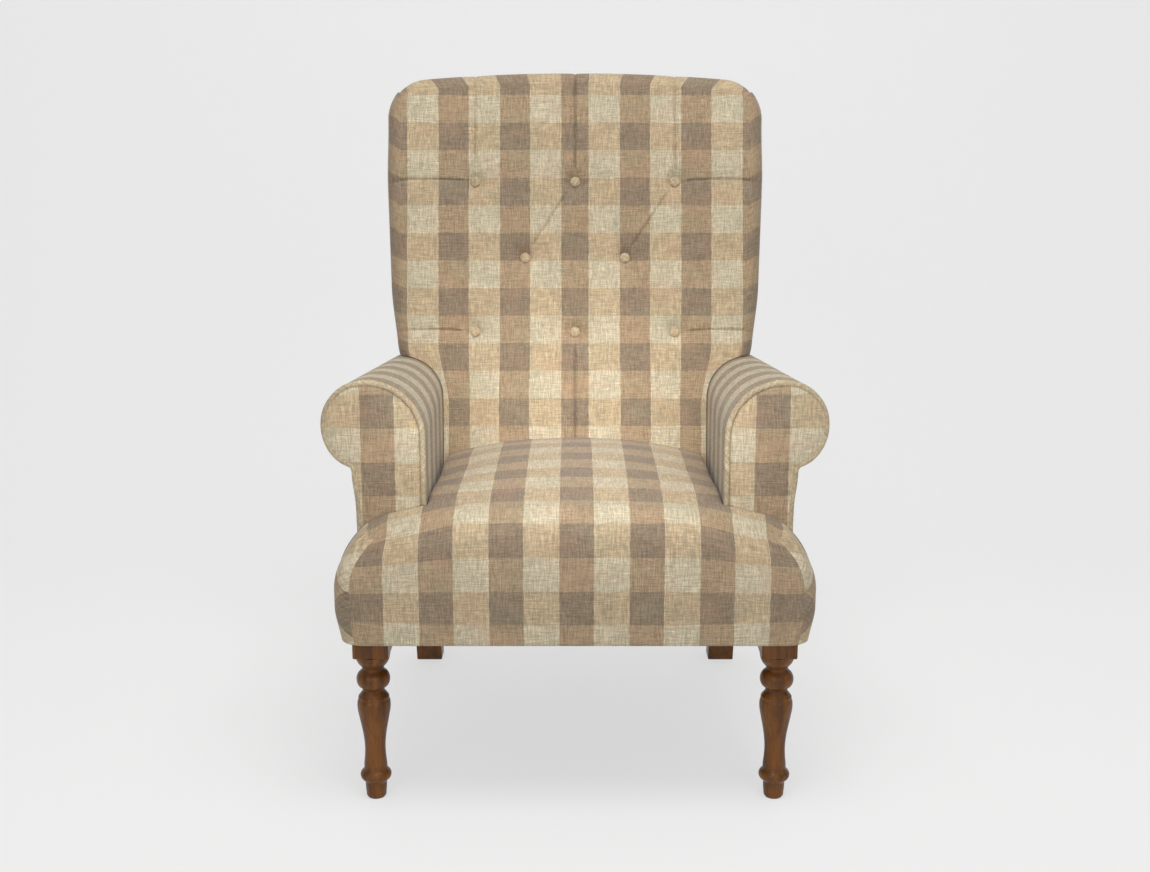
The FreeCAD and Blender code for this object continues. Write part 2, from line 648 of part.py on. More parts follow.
def back_outline(depth, inset, foot):
    """The back's outline on the upright back at a depth behind its front, drawn in by an inset."""
    top = BACK_TOP - inset
    half_top = BACK_HALF_TOP - inset
    half_foot = BACK_HALF_FOOT - inset
    shoulder = top - BACK_SHOULDER_DROP
    corner = BACK_CORNER - inset
    corners = [(-half_foot, foot, 0), (half_foot, foot, 0), (half_top, shoulder, corner),
               (0, top, BACK_CROWN_RADIUS), (-half_top, shoulder, corner)]
    wire = rounded_wire(corners, lambda x, z: V(x, depth, z))
    points = []
    for edge in wire.OrderedEdges:
        bends = [CORNER_FLATS, 1][edge.Curve.TypeId == "Part::GeomLine"]
        ends = edge.discretize(bends + 1)
        if edge.Orientation == "Reversed" and points and (ends[0] - points[-1]).Length > 0.01:
            ends.reverse()
        points += ends[:-1]
    return closed(points)


def tuft_tool(x, z):
    """What one tuft takes out of the front: a flat seat for the button inside a swelling rim."""
    floor = BUTTON_RADIUS + BUTTON_CLEAR
    run = TUFT_RADIUS - floor
    swell = (run ** 2 + TUFT_DEPTH ** 2) / (2 * TUFT_DEPTH)
    half_turn = math.asin(run / swell) / 2
    middle = V(TUFT_RADIUS - swell * math.sin(half_turn), swell * (1 - math.cos(half_turn)), 0)
    rise = flats(arc(V(floor, TUFT_DEPTH, 0), middle, V(TUFT_RADIUS, 0, 0)), TUFT_FLATS)
    levels = rise + [V(TUFT_RADIUS, -TUFT_DEPTH, 0)]
    return funnel(x, z, TUFT_SIDES, [(p.x, p.y - FOLD_PROUD) for p in levels])


def funnel(x, z, sides, levels):
    """A solid through rings of stated radius and depth, about an axis square to the back."""
    return ringed([ring(sides, radius, V(x, depth, z), V(1, 0, 0), V(0, 0, 1)) for radius, depth in levels])


def pleat_tool(x0, z0, x1, z1):
    """The fold from one point of the front to another: two swelling sides that meet in a crease."""
    length = math.hypot(x1 - x0, z1 - z0)
    swell = (PLEAT_HALF ** 2 + PLEAT_DEPTH ** 2) / (2 * PLEAT_DEPTH)
    half_turn = math.asin(PLEAT_HALF / swell) / 2
    aside = PLEAT_HALF - swell * math.sin(half_turn)
    sunk = swell * (1 - math.cos(half_turn))
    clear = -TUFT_DEPTH
    wire = Part.Wire([line(V(-PLEAT_HALF, clear, 0), V(-PLEAT_HALF, 0, 0)),
                      arc(V(-PLEAT_HALF, 0, 0), V(-aside, sunk, 0), V(0, PLEAT_DEPTH, 0)),
                      arc(V(0, PLEAT_DEPTH, 0), V(aside, sunk, 0), V(PLEAT_HALF, 0, 0)),
                      line(V(PLEAT_HALF, 0, 0), V(PLEAT_HALF, clear, 0)),
                      line(V(PLEAT_HALF, clear, 0), V(-PLEAT_HALF, clear, 0))])
    tool = prism(wire, V(0, 0, length))
    tool.rotate(V(0, 0, 0), V(0, 1, 0), math.degrees(math.atan2(x1 - x0, z1 - z0)))
    tool.translate(V(x0, -FOLD_PROUD, z0))
    return tool


def button_places():
    return [(x, z) for z, row in BUTTON_ROWS for x in row]


def pleat_runs():
    """Pleats up and down from the outer rows, across from their end buttons, and the diamonds."""
    (top_z, top_row), (mid_z, mid_row), (low_z, low_row) = BUTTON_ROWS
    runs = [(x, top_z, x, BACK_TOP + PLEAT_HALF) for x in top_row]
    runs += [(x, low_z, x, BACK_FOOT - PLEAT_HALF) for x in low_row]
    for z in (top_z, low_z):
        side = BACK_HALF_TOP + PLEAT_HALF
        runs += [(top_row[-1], z, side, z), (top_row[0], z, -side, z)]
    for x in mid_row:
        for row, z in ((top_row, top_z), (low_row, low_z)):
            runs += [(x, mid_z, near, z) for near in row if abs(near - x) < abs(row[0])]
    return runs


def inside_back():
    """The pad: a rolled front edge, sides and a top that wrap the frame, then tufts and pleats."""
    outlines = []
    for step in range(BACK_ROLL_STEPS):
        turn = math.pi / 2 * step / (BACK_ROLL_STEPS - 1)
        outlines.append(back_outline(BACK_ROLL_DEPTH * (1 - math.cos(turn)),
                                     BACK_ROLL_INSET * (1 - math.sin(turn)), BACK_FOOT))
    outlines.append(back_outline(BACK_PAD + POST_DEPTH * math.cos(LEAN), BACK_REAR_INSET, BACK_FOOT))
    pad = Part.makeLoft(outlines, True, True)
    frame_front = BACK_PAD - LAYERS - SOFT_GAP
    frame_room = box(-POST_OUTER - SOFT_GAP, POST_OUTER + SOFT_GAP, frame_front, FAR,
                     -FAR, BACK_FRAME_TOP + SOFT_GAP)
    tufts = [tuft_tool(x, z) for x, z in button_places()]
    pleats = [pleat_tool(*run) for run in pleat_runs()]
    twine_holes = [twine(x, z, TWINE_RADIUS + SOFT_GAP, 0, FAR) for x, z in button_places()]
    return lean_back(pad.cut(frame_room).cut(tufts).cut(pleats).cut(twine_holes))


def button(x, z):
    """A covered button: a low dome over a bevelled rim, its flat back on the tuft's floor."""
    rim = TUFT_FLOOR - BUTTON_HEIGHT * 0.3
    crown = V(0, TUFT_FLOOR - BUTTON_HEIGHT, 0)
    edge = V(BUTTON_RADIUS, rim, 0)
    middle = V(BUTTON_RADIUS * 0.55, crown.y + (rim - crown.y) * 0.28, 0)
    dome = flats(arc(edge, middle, crown), BUTTON_FLATS + 1)[:-1]
    levels = [(BUTTON_RADIUS - BUTTON_BEVEL, TUFT_FLOOR)] + [(p.x, p.y) for p in dome]
    return lean_back(funnel(x, z, BUTTON_SIDES, levels))


def twine(x, z, radius, start, end):
    section = ring(TWINE_SIDES, radius, V(x, start, z), V(1, 0, 0), V(0, 0, 1))
    return prism(closed(section), V(0, end - start, 0))


def twines():
    """A twine from the back of each button through the pad, knotted to the hessian."""
    return [lean_back(twine(x, z, TWINE_RADIUS, TUFT_FLOOR, BACK_PAD - LAYERS)) for x, z in button_places()]


def outside_back():
    """A covered panel behind the back and the rear rail, with the back's outline."""
    sheet = behind_posts(POST_DEPTH + SOFT_GAP).cut(behind_posts(POST_DEPTH + SOFT_GAP + PANEL_THICKNESS))
    outline = back_outline(0.0, BACK_REAR_INSET, BACK_FOOT - BACK_Z)
    room = lean_back(prism(outline, V(0, FAR, 0)))
    return sheet.common(room).common(box(-FAR, FAR, -FAR, FAR * 2, HEM_Z, FAR * 2))


# Arm pieces, drawn for the right arm

def arm_stump():
    stump = Part.makeLoft([arm_wire(y, ARM_PADDING + SOFT_GAP, RAIL_TOP) for y in (COVER_Y, STUMP_BACK_Y)],
                          True, True)
    outer = at(ARM_OUTER, STUMP_BACK_Y)
    return stump.cut(box(outer, FAR, 0, FAR, 0, notch_height(COVER_Y) - NOTCH_RADIUS))


def bar_section(y, x0, x1, z0, z1):
    points = [V(x0, y, z0), V(x1, y, z0), V(x1, y, z1), V(x0, y, z1)]
    return Part.makePolygon(points + [points[0]])


def arm_board():
    """The board under the top of the arm, from the stump to the post."""
    def section(y):
        axis = at(ARM_INNER, y) + at(ARM_ROLL, y)
        foot = at(ARM_TOP, y) - at(ARM_SCROLL, y)
        width = ARM_BOARD_WIDTH * at(ARM_SCROLL, y) / ARM_SCROLL[0]
        return bar_section(y, axis - width / 2, axis + width / 2, foot, foot + ARM_BOARD_THICKNESS)
    board = Part.makeLoft([section(STUMP_BACK_Y), section(FAR)], True, True)
    return board.cut(behind_posts(0))


def stuffing_rail():
    """The lower rail inside the arm, to which the inside cover is tacked."""
    foot = RAIL_TOP + LAYERS + STUFFING_RAIL_CLEAR

    def section(y):
        inner = at(ARM_INNER, y) + ARM_PADDING + SOFT_GAP
        return bar_section(y, inner, inner + STUFFING_RAIL_THICKNESS, foot, foot + STUFFING_RAIL_HEIGHT)
    rail = Part.makeLoft([section(STUMP_BACK_Y), section(FAR)], True, True)
    return rail.cut(behind_posts(0))


def arm_cover():
    """The inside cover with its padding: up the inside, over the top and round the scroll."""
    foot = RAIL_TOP + LAYERS + SOFT_GAP
    skin = arm_loft(COVER_Y, FAR, 0, foot)
    hollow = arm_loft(COVER_Y - 1, FAR, ARM_PADDING, foot - 1)
    end = POST_DEPTH - PANEL_THICKNESS * 2
    hollow = hollow.cut(behind_posts(end))
    skin = skin.cut(hollow).cut(behind_posts(POST_DEPTH))
    post_room = behind_posts(-SOFT_GAP).common(box(-FAR, POST_OUTER + SOFT_GAP, -FAR, FAR, -FAR, FAR * 2))
    outside = Part.makeLoft([bar_section(y, at(ARM_OUTER, y) - ARM_PADDING - 1, at(ARM_OUTER, y) + 1,
                                         0, notch_height(y)) for y in (0, FAR)], True, True)
    return skin.cut(post_room).cut(outside)


def outside_arm():
    """A covered panel from the hem to the notch under the scroll."""
    def section(y):
        outer = at(ARM_OUTER, y)
        return bar_section(y, outer - PANEL_THICKNESS, outer, HEM_Z, notch_height(y) - SOFT_GAP)
    panel = Part.makeLoft([section(COVER_Y), section(FAR)], True, True)
    return panel.cut(behind_posts(POST_DEPTH))


def arm_facing():
    """The padded facing on the front of the arm, inside its piping."""
    inset = 2 * PIPING_RADIUS + SOFT_GAP
    back = COVER_Y - SOFT_GAP
    wires = [arm_wire(back, inset, FACING_FOOT), arm_wire(ARM_FRONT_Y + FACING_EDGE, inset, FACING_FOOT),
             arm_wire(ARM_FRONT_Y + FACING_BEHIND, inset + FACING_EDGE, FACING_FOOT)]
    return Part.makeLoft(wires, True, True)


def arm_piping():
    """The cord covered in the chair's cloth that runs round the facing."""
    y = ARM_FRONT_Y + PIPING_RADIUS
    path = Part.Wire(arm_edges(y, PIPING_RADIUS, FACING_FOOT))
    start = V(at(ARM_INNER, y) + PIPING_RADIUS, y, FACING_FOOT)
    section = closed(ring(PIPING_SIDES, PIPING_RADIUS, start, V(1, 0, 0), V(0, 1, 0)))
    return path.makePipeShell([section], True, False)


def dust_cover():
    """The thin black cloth under the seat frame, cut round the legs."""
    z = RAIL_UNDERSIDE - DUST_COVER_THICKNESS
    inset = DUST_COVER_INSET
    leg_inner = FRONT_LEG_X - LEG_HALF - inset
    side_front = LEG_HALF + inset
    side_rear = POST_Y - inset
    front_half = side_rail_faces(side_front)[1] - inset
    rear_half = side_rail_faces(side_rear)[1] - inset
    sides = closed([V(-front_half, side_front, z), V(front_half, side_front, z), V(rear_half, side_rear, z),
                    V(-rear_half, side_rear, z)])
    nose = box(-leg_inner, leg_inner, inset - LEG_HALF, side_front, z, RAIL_UNDERSIDE)
    tail_half = POST_INNER - inset
    tail = box(-tail_half, tail_half, side_rear, POST_Y + RAIL_THICKNESS - inset, z, RAIL_UNDERSIDE)
    return nose.multiFuse([prism(sides, V(0, 0, DUST_COVER_THICKNESS)), tail]).removeSplitter()


pieces = {}


def add(name, solids):
    pieces[name] = solids if isinstance(solids, list) else [solids]


def add_pair(name, shape):
    add(name + "_right", shape)
    add(name + "_left", mirrored(shape))


add_pair("front_leg", front_leg().cut(front_tenon(JOINT_GAP)).cut(side_tenon_front(JOINT_GAP)))
mortises = [rear_tenon(JOINT_GAP), side_tenon_rear(JOINT_GAP),
            lean_back(back_rail(TOP_RAIL_FOOT, TOP_RAIL_HEIGHT, JOINT_GAP)),
            lean_back(back_rail(LOWER_RAIL_FOOT, LOWER_RAIL_HEIGHT, JOINT_GAP))]
add_pair("rear_leg", rear_leg().cut(mortises))
add("front_seat_rail", cross_rail(FRONT_LEG_X - LEG_HALF, -LEG_HALF, front_tenon(0)))
add("rear_seat_rail", cross_rail(POST_INNER, POST_Y, rear_tenon(0)))
add_pair("side_seat_rail", side_rail())
add("corner_blocks", corner_blocks())
add("back_top_rail", lean_back(back_rail(TOP_RAIL_FOOT, TOP_RAIL_HEIGHT)))
add("back_lower_rail", lean_back(back_rail(LOWER_RAIL_FOOT, LOWER_RAIL_HEIGHT)))
add_pair("arm_stump", arm_stump())
add_pair("arm_board", arm_board())
add_pair("arm_stuffing_rail", stuffing_rail())
add("seat_webbing", seat_webbing())
add("back_webbing", back_webbing())
add("seat_hessian", seat_hessian())
add("back_hessian", back_hessian())
add("seat_stuffing", stuffing_block(0))
add("seat_cover", seat_cover(seat_dome()))
arm_rooms = both(arm_space(SOFT_GAP))
add("inside_back", inside_back().cut(arm_rooms[0]).cut(arm_rooms[1]))
add("back_buttons", [button(x, z) for x, z in button_places()])
add("button_twines", twines())
add("outside_back", outside_back())
add_pair("arm_cover", arm_cover())
add_pair("outside_arm", outside_arm())
add_pair("arm_facing", arm_facing())
add_pair("arm_piping", arm_piping())
add("dust_cover", dust_cover())

extent = FreeCAD.BoundBox()
for solids in pieces.values():
    for solid in solids:
        extent.add(solid.optimalBoundingBox(False, False))
shift = V(-(extent.XMin + extent.XMax) / 2, -(extent.YMin + extent.YMax) / 2, -extent.ZMin)
for name, solids in pieces.items():
    for solid in solids:
        solid.translate(shift)
    whole = Part.makeCompound(solids) if len(solids) > 1 else solids[0]
    whole.exportStep("parts/" + name + ".step")
    print(name, len(whole.Solids), "solids", round(whole.Volume / 1000.0, 1), "cm3", whole.isValid())
print("extent", round(extent.XLength, 1), round(extent.YLength, 1), round(extent.ZLength, 1))
print("front leg axis is at Y", round(shift.y, 2))
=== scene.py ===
# %% [markdown]
# # Fireside chair
# An upholstered easy chair: a beech frame on turned front legs, rolled arms, a domed T-shaped
# seat and a leaning back that is tufted with eight covered buttons, all in a woven check. The
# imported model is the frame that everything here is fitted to. Blender works in metres, but an
# upholsterer thinks in millimetres, so sizes below are in millimetres and are measured from
# the axis line of the front legs, and one function turns them into Blender's metres.

# %% The fixed frame
import bpy
import bmesh
import math
import numpy as np
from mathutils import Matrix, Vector


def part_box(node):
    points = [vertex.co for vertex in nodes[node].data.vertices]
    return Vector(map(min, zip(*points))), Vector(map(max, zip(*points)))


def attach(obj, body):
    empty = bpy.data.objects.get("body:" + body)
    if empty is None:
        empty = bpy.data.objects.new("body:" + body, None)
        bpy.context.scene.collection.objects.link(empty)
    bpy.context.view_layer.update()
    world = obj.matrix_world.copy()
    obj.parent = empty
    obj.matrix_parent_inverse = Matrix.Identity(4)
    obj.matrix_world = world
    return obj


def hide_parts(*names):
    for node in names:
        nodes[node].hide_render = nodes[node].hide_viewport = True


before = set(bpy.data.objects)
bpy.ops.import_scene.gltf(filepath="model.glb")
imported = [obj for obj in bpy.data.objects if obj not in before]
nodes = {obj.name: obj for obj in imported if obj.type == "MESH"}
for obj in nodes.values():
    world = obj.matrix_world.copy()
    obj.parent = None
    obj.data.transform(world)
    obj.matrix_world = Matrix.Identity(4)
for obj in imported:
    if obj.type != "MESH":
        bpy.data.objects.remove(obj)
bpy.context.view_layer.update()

# %% [markdown]
# The camera stands where the photographer stood: a little lower than the top of the back, 2.4
# metres in front of the chair's middle and tipped down by twelve degrees. A short telephoto
# lens keeps the chair from looking stretched.

# %% Camera
SENSOR_WIDTH = 36.0
PHOTO_WIDTH = 1150
FOCAL_PIXELS = 1500
CAMERA_PLACE = (0.0, -2.3936, 0.994)
CAMERA_TIP = 12.0

camera_data = bpy.data.cameras.new("camera")
camera_data.sensor_width = SENSOR_WIDTH
camera_data.lens = FOCAL_PIXELS / PHOTO_WIDTH * SENSOR_WIDTH
camera = bpy.data.objects.new("camera", camera_data)
camera.location = CAMERA_PLACE
camera.rotation_euler = (math.radians(90 - CAMERA_TIP), 0, 0)
bpy.context.scene.collection.objects.link(camera)
bpy.context.scene.camera = camera
print("camera lens", round(camera_data.lens, 2), "mm")

# %% [markdown]
# ## Sizes of the chair
# These are the same sizes that the frame was built from: the arms are slimmer and lower at the
# back than at the front, and the back leans by twelve degrees from a line 430 mm up. Writing
# them once lets the covers follow the frame to a fraction of a millimetre.

# %% Sizes in millimetres
MM = 0.001
low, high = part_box("front_leg_right")
LEG_LINE = (low[1] + high[1]) / 2
LEG_X = 297.0
HEM = 251.0
RAIL_TOP = 333.0
LAYERS_TOP = 338.0
BACK_Y = 430.0
BACK_Z = 430.0
LEAN = math.radians(12.0)
BACK_PAD = 57.0
POST_DEPTH = 42.0
POST_Y = BACK_Y + BACK_PAD / math.cos(LEAN)
ARM_FRONT = 26.3
ARM_REAR = 470.0
ARM_INNER = (216.0, 228.0)
ARM_OUTER = (319.0, 299.5)
ARM_TOP = (626.0, 590.0)
ARM_ROLL = (85.0, 68.0)
ARM_SCROLL = (66.0, 52.0)
NOTCH = 8.0
PIPING = 4.5
FACING_FOOT = 336.0
CLEARANCE = 0.3
COVER_FRONT = ARM_FRONT + 2 * PIPING + CLEARANCE
REAR_GAP = 0.4
STUMP_DEPTH = 25.0
PANEL = 2.6
print("front legs stand at y", round(LEG_LINE, 4), "m, and the posts", round(POST_Y, 1), "mm behind them")


# %% Measuring helpers
def to_frame(points):
    """Millimetres from the leg line to metres in the frame."""
    return np.asarray(points, float) * MM + np.array([0.0, LEG_LINE, 0.0])


def at(sizes, y):
    """An arm size at y, from its values at the front and at the back of the arm."""
    share = (y - ARM_FRONT) / (ARM_REAR - ARM_FRONT)
    return sizes[0] + (sizes[1] - sizes[0]) * share


def lean_back(x, depth, rise):
    """A point of the upright back, front at depth 0, taken to the leaning back."""
    y = BACK_Y + depth * math.cos(LEAN) + rise * math.sin(LEAN)
    z = BACK_Z - depth * math.sin(LEAN) + rise * math.cos(LEAN)
    return np.stack(np.broadcast_arrays(x, y, z), -1)


def rear_face(z):
    """How far back the posts reach at a height."""
    return POST_Y + POST_DEPTH + np.maximum(z - BACK_Z, 0.0) * math.tan(LEAN)


def smooth_step(low_edge, high_edge, value):
    """From 0 at one edge to 1 at the other, and level at both."""
    t = np.clip((value - low_edge) / (high_edge - low_edge), 0.0, 1.0)
    return t * t * (3 - 2 * t)


def through(places, values, where):
    """A smooth curve through a few measured points."""
    places = np.asarray(places, float)
    values = np.asarray(values, float)
    slopes = np.gradient(values, places)
    where = np.clip(where, places[0], places[-1])
    i = np.clip(np.searchsorted(places, where) - 1, 0, len(places) - 2)
    gap = places[i + 1] - places[i]
    t = (where - places[i]) / gap
    ease = t * t * (3 - 2 * t)
    return (values[i] * (1 - ease) + values[i + 1] * ease
            + gap * (slopes[i] * t * (1 - t) ** 2 - slopes[i + 1] * t * t * (1 - t)))


print("arm heights in mm, front and back:", at(ARM_TOP, ARM_FRONT), at(ARM_TOP, ARM_REAR))

# %% [markdown]
# ## Shader groups
# Woven cloth shows at three scales: the check itself, the single threads with their thick and
# thin places, and a slow drift of tone. An image could hold all three, but a group of nodes
# that reads the cloth's own coordinates in metres keeps the right thread size on every piece.
# The group puts out a colour and a height, and each material feeds them to its own shader.

# %% Colours and nodes
def srgb(text):
    """A colour as it is read from a colour chart, to the linear numbers that nodes use."""
    channels = [int(text[i:i + 2], 16) / 255 for i in (1, 3, 5)]
    linear = [c / 12.92 if c <= 0.04045 else ((c + 0.055) / 1.055) ** 2.4 for c in channels]
    return tuple(linear) + (1.0,)


def add_node(tree, kind, inputs=(), **settings):
    """A node with its settings, and with each input set to a value or joined to a socket."""
    made = tree.nodes.new(kind)
    for name, value in settings.items():
        setattr(made, name, value)
    for key, value in dict(inputs).items():
        if isinstance(value, bpy.types.NodeSocket):
            tree.links.new(value, made.inputs[key])
        else:
            made.inputs[key].default_value = value
    return made


print("mid grey reads", round(srgb("#808080")[0], 3), "in a node")


# %% Values, mixes and noise
def arithmetic(tree, operation, a, b=0.0):
    return add_node(tree, "ShaderNodeMath", {0: a, 1: b}, operation=operation).outputs[0]


def mixed(tree, factor, a, b, blend="MIX"):
    made = add_node(tree, "ShaderNodeMix", {"Factor": factor}, data_type="RGBA", blend_type=blend)
    for socket, value in ((made.inputs[6], a), (made.inputs[7], b)):
        if isinstance(value, bpy.types.NodeSocket):
            tree.links.new(value, socket)
        else:
            socket.default_value = value
    return made.outputs[2]


def ranged(tree, value, low_in, high_in, low_out=0.0, high_out=1.0):
    """A smooth step from low_out to high_out as the value goes from low_in to high_in."""
    settings = {0: value, 1: low_in, 2: high_in, 3: low_out, 4: high_out}
    return add_node(tree, "ShaderNodeMapRange", settings, interpolation_type="SMOOTHSTEP").outputs[0]


def stretched_noise(tree, place, stretch, detail=2.0, offset=0.0):
    """Noise drawn out along a direction: a small number in stretch makes a long streak."""
    scaled = add_node(tree, "ShaderNodeVectorMath", {0: place, 1: stretch}, operation="MULTIPLY").outputs[0]
    shift = (offset,) * 3
    moved = add_node(tree, "ShaderNodeVectorMath", {0: scaled, 1: shift}, operation="ADD").outputs[0]
    settings = {"Vector": moved, "Scale": 1.0, "Detail": detail}
    return add_node(tree, "ShaderNodeTexNoise", settings).outputs[0]


print("helpers for values, mixes and noise ready")


# %% Node groups
def new_group(name, inputs, outputs):
    """A shader node group with named sockets."""
    tree = bpy.data.node_groups.new(name, "ShaderNodeTree")
    for label, kind, value in inputs:
        socket = tree.interface.new_socket(label, in_out="INPUT", socket_type=kind)
        if value is not None:
            socket.default_value = value
    for label, kind in outputs:
        tree.interface.new_socket(label, in_out="OUTPUT", socket_type=kind)
    start = tree.nodes.new("NodeGroupInput")
    end = tree.nodes.new("NodeGroupOutput")
    return tree, start.outputs, end.inputs


print("groups can be made")

# %% Woven threads
FLOAT = "NodeSocketFloat"
COLOUR = "NodeSocketColor"
VECTOR = "NodeSocketVector"

threads, given, put_out = new_group(
    "woven threads",
    [("Place", VECTOR, None), ("Threads per Metre", FLOAT, 900.0), ("Slub Length", FLOAT, 0.011)],
    [("Across", FLOAT), ("Along", FLOAT), ("Height", FLOAT)])
place = given["Place"]
per_metre = given["Threads per Metre"]
slow = arithmetic(threads, "DIVIDE", 1.0, given["Slub Length"])
upright = add_node(threads, "ShaderNodeCombineXYZ", {0: per_metre, 1: slow, 2: 1.0}).outputs[0]
lying = add_node(threads, "ShaderNodeCombineXYZ", {0: slow, 1: per_metre, 2: 1.0}).outputs[0]
warp = stretched_noise(threads, place, upright, offset=3.7)
weft = stretched_noise(threads, place, lying, offset=11.3)
threads.links.new(warp, put_out["Across"])
threads.links.new(weft, put_out["Along"])
threads.links.new(arithmetic(threads, "ADD", warp, weft), put_out["Height"])
print("group", threads.name, "has", len(threads.nodes), "nodes")

# %% [markdown]
# A sine of the place gives a number that changes sign at every stripe's edge, and a steep ramp
# on it gives a stripe with a soft woven edge. Two stripe masks choose among four cell colours.
# A pale thread runs along the edges of the upright stripes, and the slubs carry some of each
# yarn's tone along it.

# %% Woven check
STRIPE = 0.050
SOFT_EDGE = 0.05
WANDER = 0.0004
CELLS = {"dark on dark": "#8a7965", "dark on light": "#a38d71", "light on dark": "#b7a384",
         "light on light": "#c0b49a", "plain": "#b5a78b"}
EDGE_THREAD = "#d6c8ab"
EDGE_THREAD_SPAN = (0.02, 0.06)
EDGE_THREAD_SHARE = 0.36

check, given, put_out = new_group(
    "woven check",
    [("Place", VECTOR, None), ("Check Strength", FLOAT, 1.0), ("Drift", FLOAT, 1.0),
     ("Bands Only", FLOAT, 0.0)],
    [("Color", COLOUR), ("Height", FLOAT), ("Roughness", FLOAT)])
place = given["Place"]
woven = add_node(check, "ShaderNodeGroup", {}, node_tree=threads)
check.links.new(place, woven.inputs["Place"])
wander = stretched_noise(check, place, (90.0, 90.0, 1.0), offset=5.0)
wander = ranged(check, wander, 0.3, 0.7, -WANDER, WANDER)
sides = add_node(check, "ShaderNodeSeparateXYZ", {0: place}).outputs
edges = []
for side, phase in ((0, math.pi / 2), (1, 0.0)):
    moved = arithmetic(check, "ADD", sides[side], wander)
    turned = arithmetic(check, "MULTIPLY_ADD", moved, math.pi / STRIPE)
    turned.node.inputs[2].default_value = phase
    edges.append(arithmetic(check, "SINE", turned))
row = ranged(check, edges[1], -SOFT_EDGE, SOFT_EDGE)
upright_stripe = ranged(check, edges[0], -SOFT_EDGE, SOFT_EDGE)
column = add_node(check, "ShaderNodeMix", {"Factor": given["Bands Only"], 2: upright_stripe, 3: row})
column = column.outputs[0]
light_columns = mixed(check, row, srgb(CELLS["light on light"]), srgb(CELLS["light on dark"]))
dark_columns = mixed(check, row, srgb(CELLS["dark on light"]), srgb(CELLS["dark on dark"]))
cells = mixed(check, column, light_columns, dark_columns)
strength = given["Check Strength"]
cells = mixed(check, strength, srgb(CELLS["plain"]), cells)
at_edge = arithmetic(check, "ABSOLUTE", edges[0])
line = ranged(check, at_edge, *EDGE_THREAD_SPAN, EDGE_THREAD_SHARE, 0.0)
unbanded = arithmetic(check, "SUBTRACT", 1.0, given["Bands Only"])
line = arithmetic(check, "MULTIPLY", arithmetic(check, "MULTIPLY", line, strength), unbanded)
cells = mixed(check, line, cells, srgb(EDGE_THREAD))
print("the check repeats every", 2 * STRIPE, "m")

# %% [markdown]
# Threads change the tone of the cell that they are in, and don't replace it, so they multiply
# it. Fine threads give the linen look, a few thick slubs run further, and a fine speckle is the
# fuzz between the threads.

# %% Threads over the check
def toned(colour, source, low_in, high_in, darker, lighter):
    """Multiply a colour by a grey that runs from darker to lighter as the source rises."""
    grey = ranged(check, source, low_in, high_in, darker, lighter)
    grey = add_node(check, "ShaderNodeCombineColor", {0: grey, 1: grey, 2: grey}).outputs[0]
    return mixed(check, 1.0, colour, grey, "MULTIPLY")


cells = toned(cells, woven.outputs["Across"], 0.28, 0.72, 0.80, 1.16)
cells = toned(cells, woven.outputs["Along"], 0.28, 0.72, 0.83, 1.14)
slub_across = stretched_noise(check, place, (420.0, 26.0, 1.0), offset=31.0)
slub_along = stretched_noise(check, place, (26.0, 420.0, 1.0), offset=43.0)
cells = toned(cells, slub_across, 0.36, 0.66, 0.90, 1.10)
cells = toned(cells, slub_along, 0.36, 0.66, 0.91, 1.09)
speckle = stretched_noise(check, place, (1100.0, 1100.0, 1.0), 1.0, 57.0)
cells = toned(cells, speckle, 0.30, 0.70, 0.82, 1.16)
drift = stretched_noise(check, place, (17.0, 23.0, 1.0), offset=21.0)
for start, full, most, tint in ((0.5, 0.68, 0.16, "#8f9078"), (0.5, 0.32, 0.18, "#b08a70")):
    share = arithmetic(check, "MULTIPLY", ranged(check, drift, start, full, 0.0, most), given["Drift"])
    cells = mixed(check, share, cells, srgb(tint))
check.links.new(cells, put_out["Color"])
check.links.new(woven.outputs["Height"], put_out["Height"])
check.links.new(ranged(check, woven.outputs["Height"], 0.7, 1.3, 0.82, 0.97), put_out["Roughness"])
print("group", check.name, "has", len(check.nodes), "nodes")

# %% [markdown]
# Wood grain runs along a piece in long streaks with fine pores in them, and shade is painted
# into the turned grooves, darker the deeper they are. The group takes a place whose Z runs
# along the grain, so one group serves legs and rails that lie in any direction.

# %% Wood grain
grain, given, put_out = new_group(
    "wood grain",
    [("Place", VECTOR, None), ("Light", COLOUR, srgb("#8a6844")), ("Dark", COLOUR, srgb("#553b25")),
     ("Groove Shade", FLOAT, 0.0)],
    [("Color", COLOUR), ("Height", FLOAT), ("Roughness", FLOAT)])
place = given["Place"]
bands = stretched_noise(grain, place, (70.0, 70.0, 5.0), 3.0)
fine = stretched_noise(grain, place, (420.0, 420.0, 18.0), 3.0, 7.0)
pores = stretched_noise(grain, place, (900.0, 900.0, 60.0), 1.0, 15.0)
tone = mixed(grain, ranged(grain, bands, 0.30, 0.70), given["Light"], given["Dark"])
tone = mixed(grain, ranged(grain, fine, 0.45, 0.75, 0.0, 0.55), tone, given["Dark"])
tone = mixed(grain, ranged(grain, pores, 0.62, 0.74, 0.0, 0.5), tone, srgb("#2e1e12"))
# Painted shade: the wood darkens towards a deep brown in the turned grooves.
tone = mixed(grain, arithmetic(grain, "MULTIPLY", given["Groove Shade"], 0.62), tone, srgb("#2b1b10"))
grain.links.new(tone, put_out["Color"])
grain.links.new(arithmetic(grain, "SUBTRACT", fine, pores), put_out["Height"])
grain.links.new(ranged(grain, fine, 0.3, 0.7, 0.30, 0.46), put_out["Roughness"])
print("group", grain.name, "has", len(grain.nodes), "nodes")

# %% [markdown]
# ## Materials
# Every material is a Principled shader in its own tree, fed by the groups. Cloth is rough with
# a little sheen, which is the light that loose fibres catch at a grazing angle. The polished
# beech of the legs has a thin coat, and the frame inside the chair is bare planed beech.

